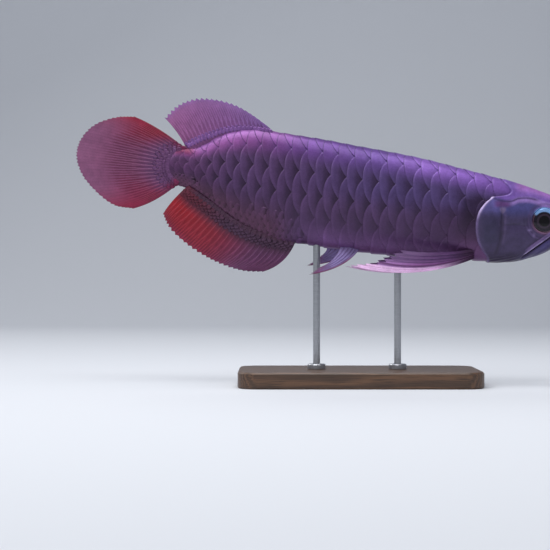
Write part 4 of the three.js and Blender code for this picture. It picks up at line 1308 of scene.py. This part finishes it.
def eye_rim(side, material):
    """The fleshy rim round an eye: its section rises by the eyeball, rounds over and sinks in the skin."""
    around = 120
    profile = np.array([
        (11.3, -3.2), (11.75, -1.6), (12.05, -0.7), (12.4, -0.05), (12.9, 0.38), (13.5, 0.5), (14.1, 0.4),
        (14.7, 0.12), (15.2, -0.12), (15.9, -0.5), (16.2, -1.4), (14.5, -3.2), (12.6, -4.2),
    ])
    turn = np.linspace(0, 2 * np.pi, around, endpoint=False)
    r, a = np.meshgrid(profile[:, 0], turn, indexing="ij")
    wobble = 1 + 0.006 * np.sin(3 * a + 0.6) + 0.004 * np.sin(7 * a)
    s = EYE["s"] + r * wobble * np.cos(a)
    z = EYE["z"] + r * wobble * np.sin(a)
    y = flank(s, z) + profile[:, 1:]
    points = np.stack([s, side * y, z], -1)
    high = np.sin(a)
    c = lay(
        head_colour(s, y, z),
        ("#6a4868", 0.55 * (1 - step(high, -0.6, 0.1))),
        ("#9a7391", 0.8 * band(r, 11.9, 12.8, 0.5) * (1 - step(high, -0.5, 0.1))),
        # The eye's pale blue crescent goes on over the rim's upper inner edge: a painted reflection of light
        # from above.
        ("#8fb4ea", 0.8 * band(r, 11.0, 13.0, 0.7) * step(high, 0.45, 0.75)),
        ("#7e60ab", 0.5 * band(r, 13.3, 15, 0.6) * step(high, 0.5, 0.9)),
    )
    quads, i, j = closed_faces(len(profile), around, wrap_rows=True, wrap_columns=True)
    maps = np.stack([j / around, 0.02 + 0.96 * i / len(profile)], -1)
    if side > 0:
        quads, maps = quads[:, ::-1], maps[:, ::-1]
    return make(side_name("eye_rim", side), points.reshape(-1, 3), [quads], [maps], material, c)


def barbel(side, material):
    """A chin barbel: circles that taper along a parabola through its knee, closed by a pole at each end."""
    root, knee, tip = (np.array(BARBEL[key]) for key in ("root", "knee", "tip"))
    rings, around = 40, 20
    t = np.linspace(0, 1, rings)[:, None]
    spine = root * (1 - t) ** 2 + 2 * knee * t * (1 - t) + tip * t**2
    ahead = unit(2 * (knee - root) * (1 - t) + 2 * (tip - knee) * t)
    sideways = unit(np.cross(ahead, [0.0, 0.0, 1.0]))
    upward = np.cross(sideways, ahead)
    thin = BARBEL_THICK[0] + (BARBEL_THICK[1] - BARBEL_THICK[0]) * t**0.8
    radius = thin * np.sqrt(np.clip((1.02 - t) / 0.06, 0.1, 1)) * (1 + 0.03 * np.sin(t * 60))
    turn = np.linspace(0, 2 * np.pi, around, endpoint=False)
    circle = np.cos(turn)[None, :, None] * sideways[:, None] + np.sin(turn)[None, :, None] * upward[:, None]
    body = spine[:, None] + circle * radius[:, :, None]
    points = np.vstack([root[None], body.reshape(-1, 3), (tip + ahead[-1] * 0.2)[None]])
    share = np.concatenate([[0.0], np.repeat(t[:, 0], around), [1.0]])
    points[:, 1] *= side
    faces = polar(rings, around, side > 0)
    disc = disc_map(0.02 + 0.98 * share, turn, rings)
    name = side_name("barbel", side)
    maps = [disc[f] for f in faces]
    colour = mix("#4a3c70", "#6b4f86", share)
    return make(name + "_skin", points, faces, maps, material, colour, replaced=(name,))


# The room for the picture


def camera():
    """A level camera square to the fish's right side, at the distance that shows a millimetre as a pixel."""
    lens = bpy.data.cameras.new("camera")
    lens.sensor_width = SENSOR
    lens.lens = SENSOR * CAMERA_AWAY / PICTURE_WIDE
    lens.clip_start = 0.01
    made = bpy.data.objects.new("camera", lens)
    made.location = ((CAMERA_STATION - MIDDLE) * MM, -CAMERA_AWAY * MM, CAMERA_HEIGHT * MM)
    made.rotation_euler = (np.pi / 2, 0, 0)
    bpy.context.scene.collection.objects.link(made)
    bpy.context.scene.camera = made


def studio():
    """A pale floor that sweeps up behind the fish in a quarter circle, and soft lamps on three sides."""
    material, _, _ = new_material("pale_backdrop", Base_Color=(*linear("#dcdfe5"), 1), Roughness=0.9)
    radius, far, wide = 0.9, 2.6, 5.0
    arc = np.linspace(0, np.pi / 2, 24)
    y = np.concatenate([[-3.4], far - radius + radius * np.sin(arc), [far]])
    z = np.concatenate([[0.0], radius - radius * np.cos(arc), [4.5]])
    x = np.linspace(-wide, wide, 3)
    points = np.array([(a, b, c) for b, c in zip(y, z) for a in x])
    faces, _, _ = closed_faces(len(y), len(x))
    mesh = bpy.data.meshes.new("backdrop")
    mesh.from_pydata(points.tolist(), [], faces[:, ::-1].tolist())
    mesh.polygons.foreach_set("use_smooth", np.ones(len(faces), bool))
    mesh.materials.append(material)
    sweep = bpy.data.objects.new("backdrop", mesh)
    bpy.context.scene.collection.objects.link(sweep)
    target = Vector((0, 0, 0.19))
    for name, place, size, power in (
        ("lamp_above", (-0.1, -0.3, 1.5), 1.2, 19),
        ("lamp_front", (-1.3, -1.5, 1.5), 0.9, 11),
        ("lamp_behind", (-1.0, 1.3, 1.6), 1.0, 9),
    ):
        lamp = bpy.data.lights.new(name, "AREA")
        lamp.shape = "SQUARE"
        lamp.size = size
        lamp.energy = power
        made = bpy.data.objects.new(name, lamp)
        made.location = place
        made.rotation_euler = (target - Vector(place)).to_track_quat("-Z", "Y").to_euler()
        bpy.context.scene.collection.objects.link(made)
    world = bpy.data.worlds.new("studio")
    world.use_nodes = True
    background = world.node_tree.nodes["Background"]
    background.inputs["Color"].default_value = (*linear("#e6ebf5"), 1)
    background.inputs["Strength"].default_value = 0.36
    bpy.context.scene.world = world
    bpy.context.scene.view_settings.view_transform = "Standard"


def stand(wood, steel):
    """The stand keeps its CAD shapes: a wooden base, and rods and collars of steel."""
    for name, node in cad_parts.items():
        if not name.startswith("stand_"):
            continue
        node.data.materials.clear()
        node.data.materials.append(wood if name == "stand_base" else steel)


camera()
skin_finish = skin_material()
scale_finish = scale_material()
fin_finish = fin_material()
eye_finish = eye_material()
skin(skin_finish)
scales(scale_finish)
sheath(scale_finish)
fins(fin_finish)
fin_bases(scale_finish)
for hand in (1, -1):
    eye(hand, eye_finish)
    eye_rim(hand, skin_finish)
    barbel(hand, skin_finish)
stand(wood_material(), steel_material())
studio()
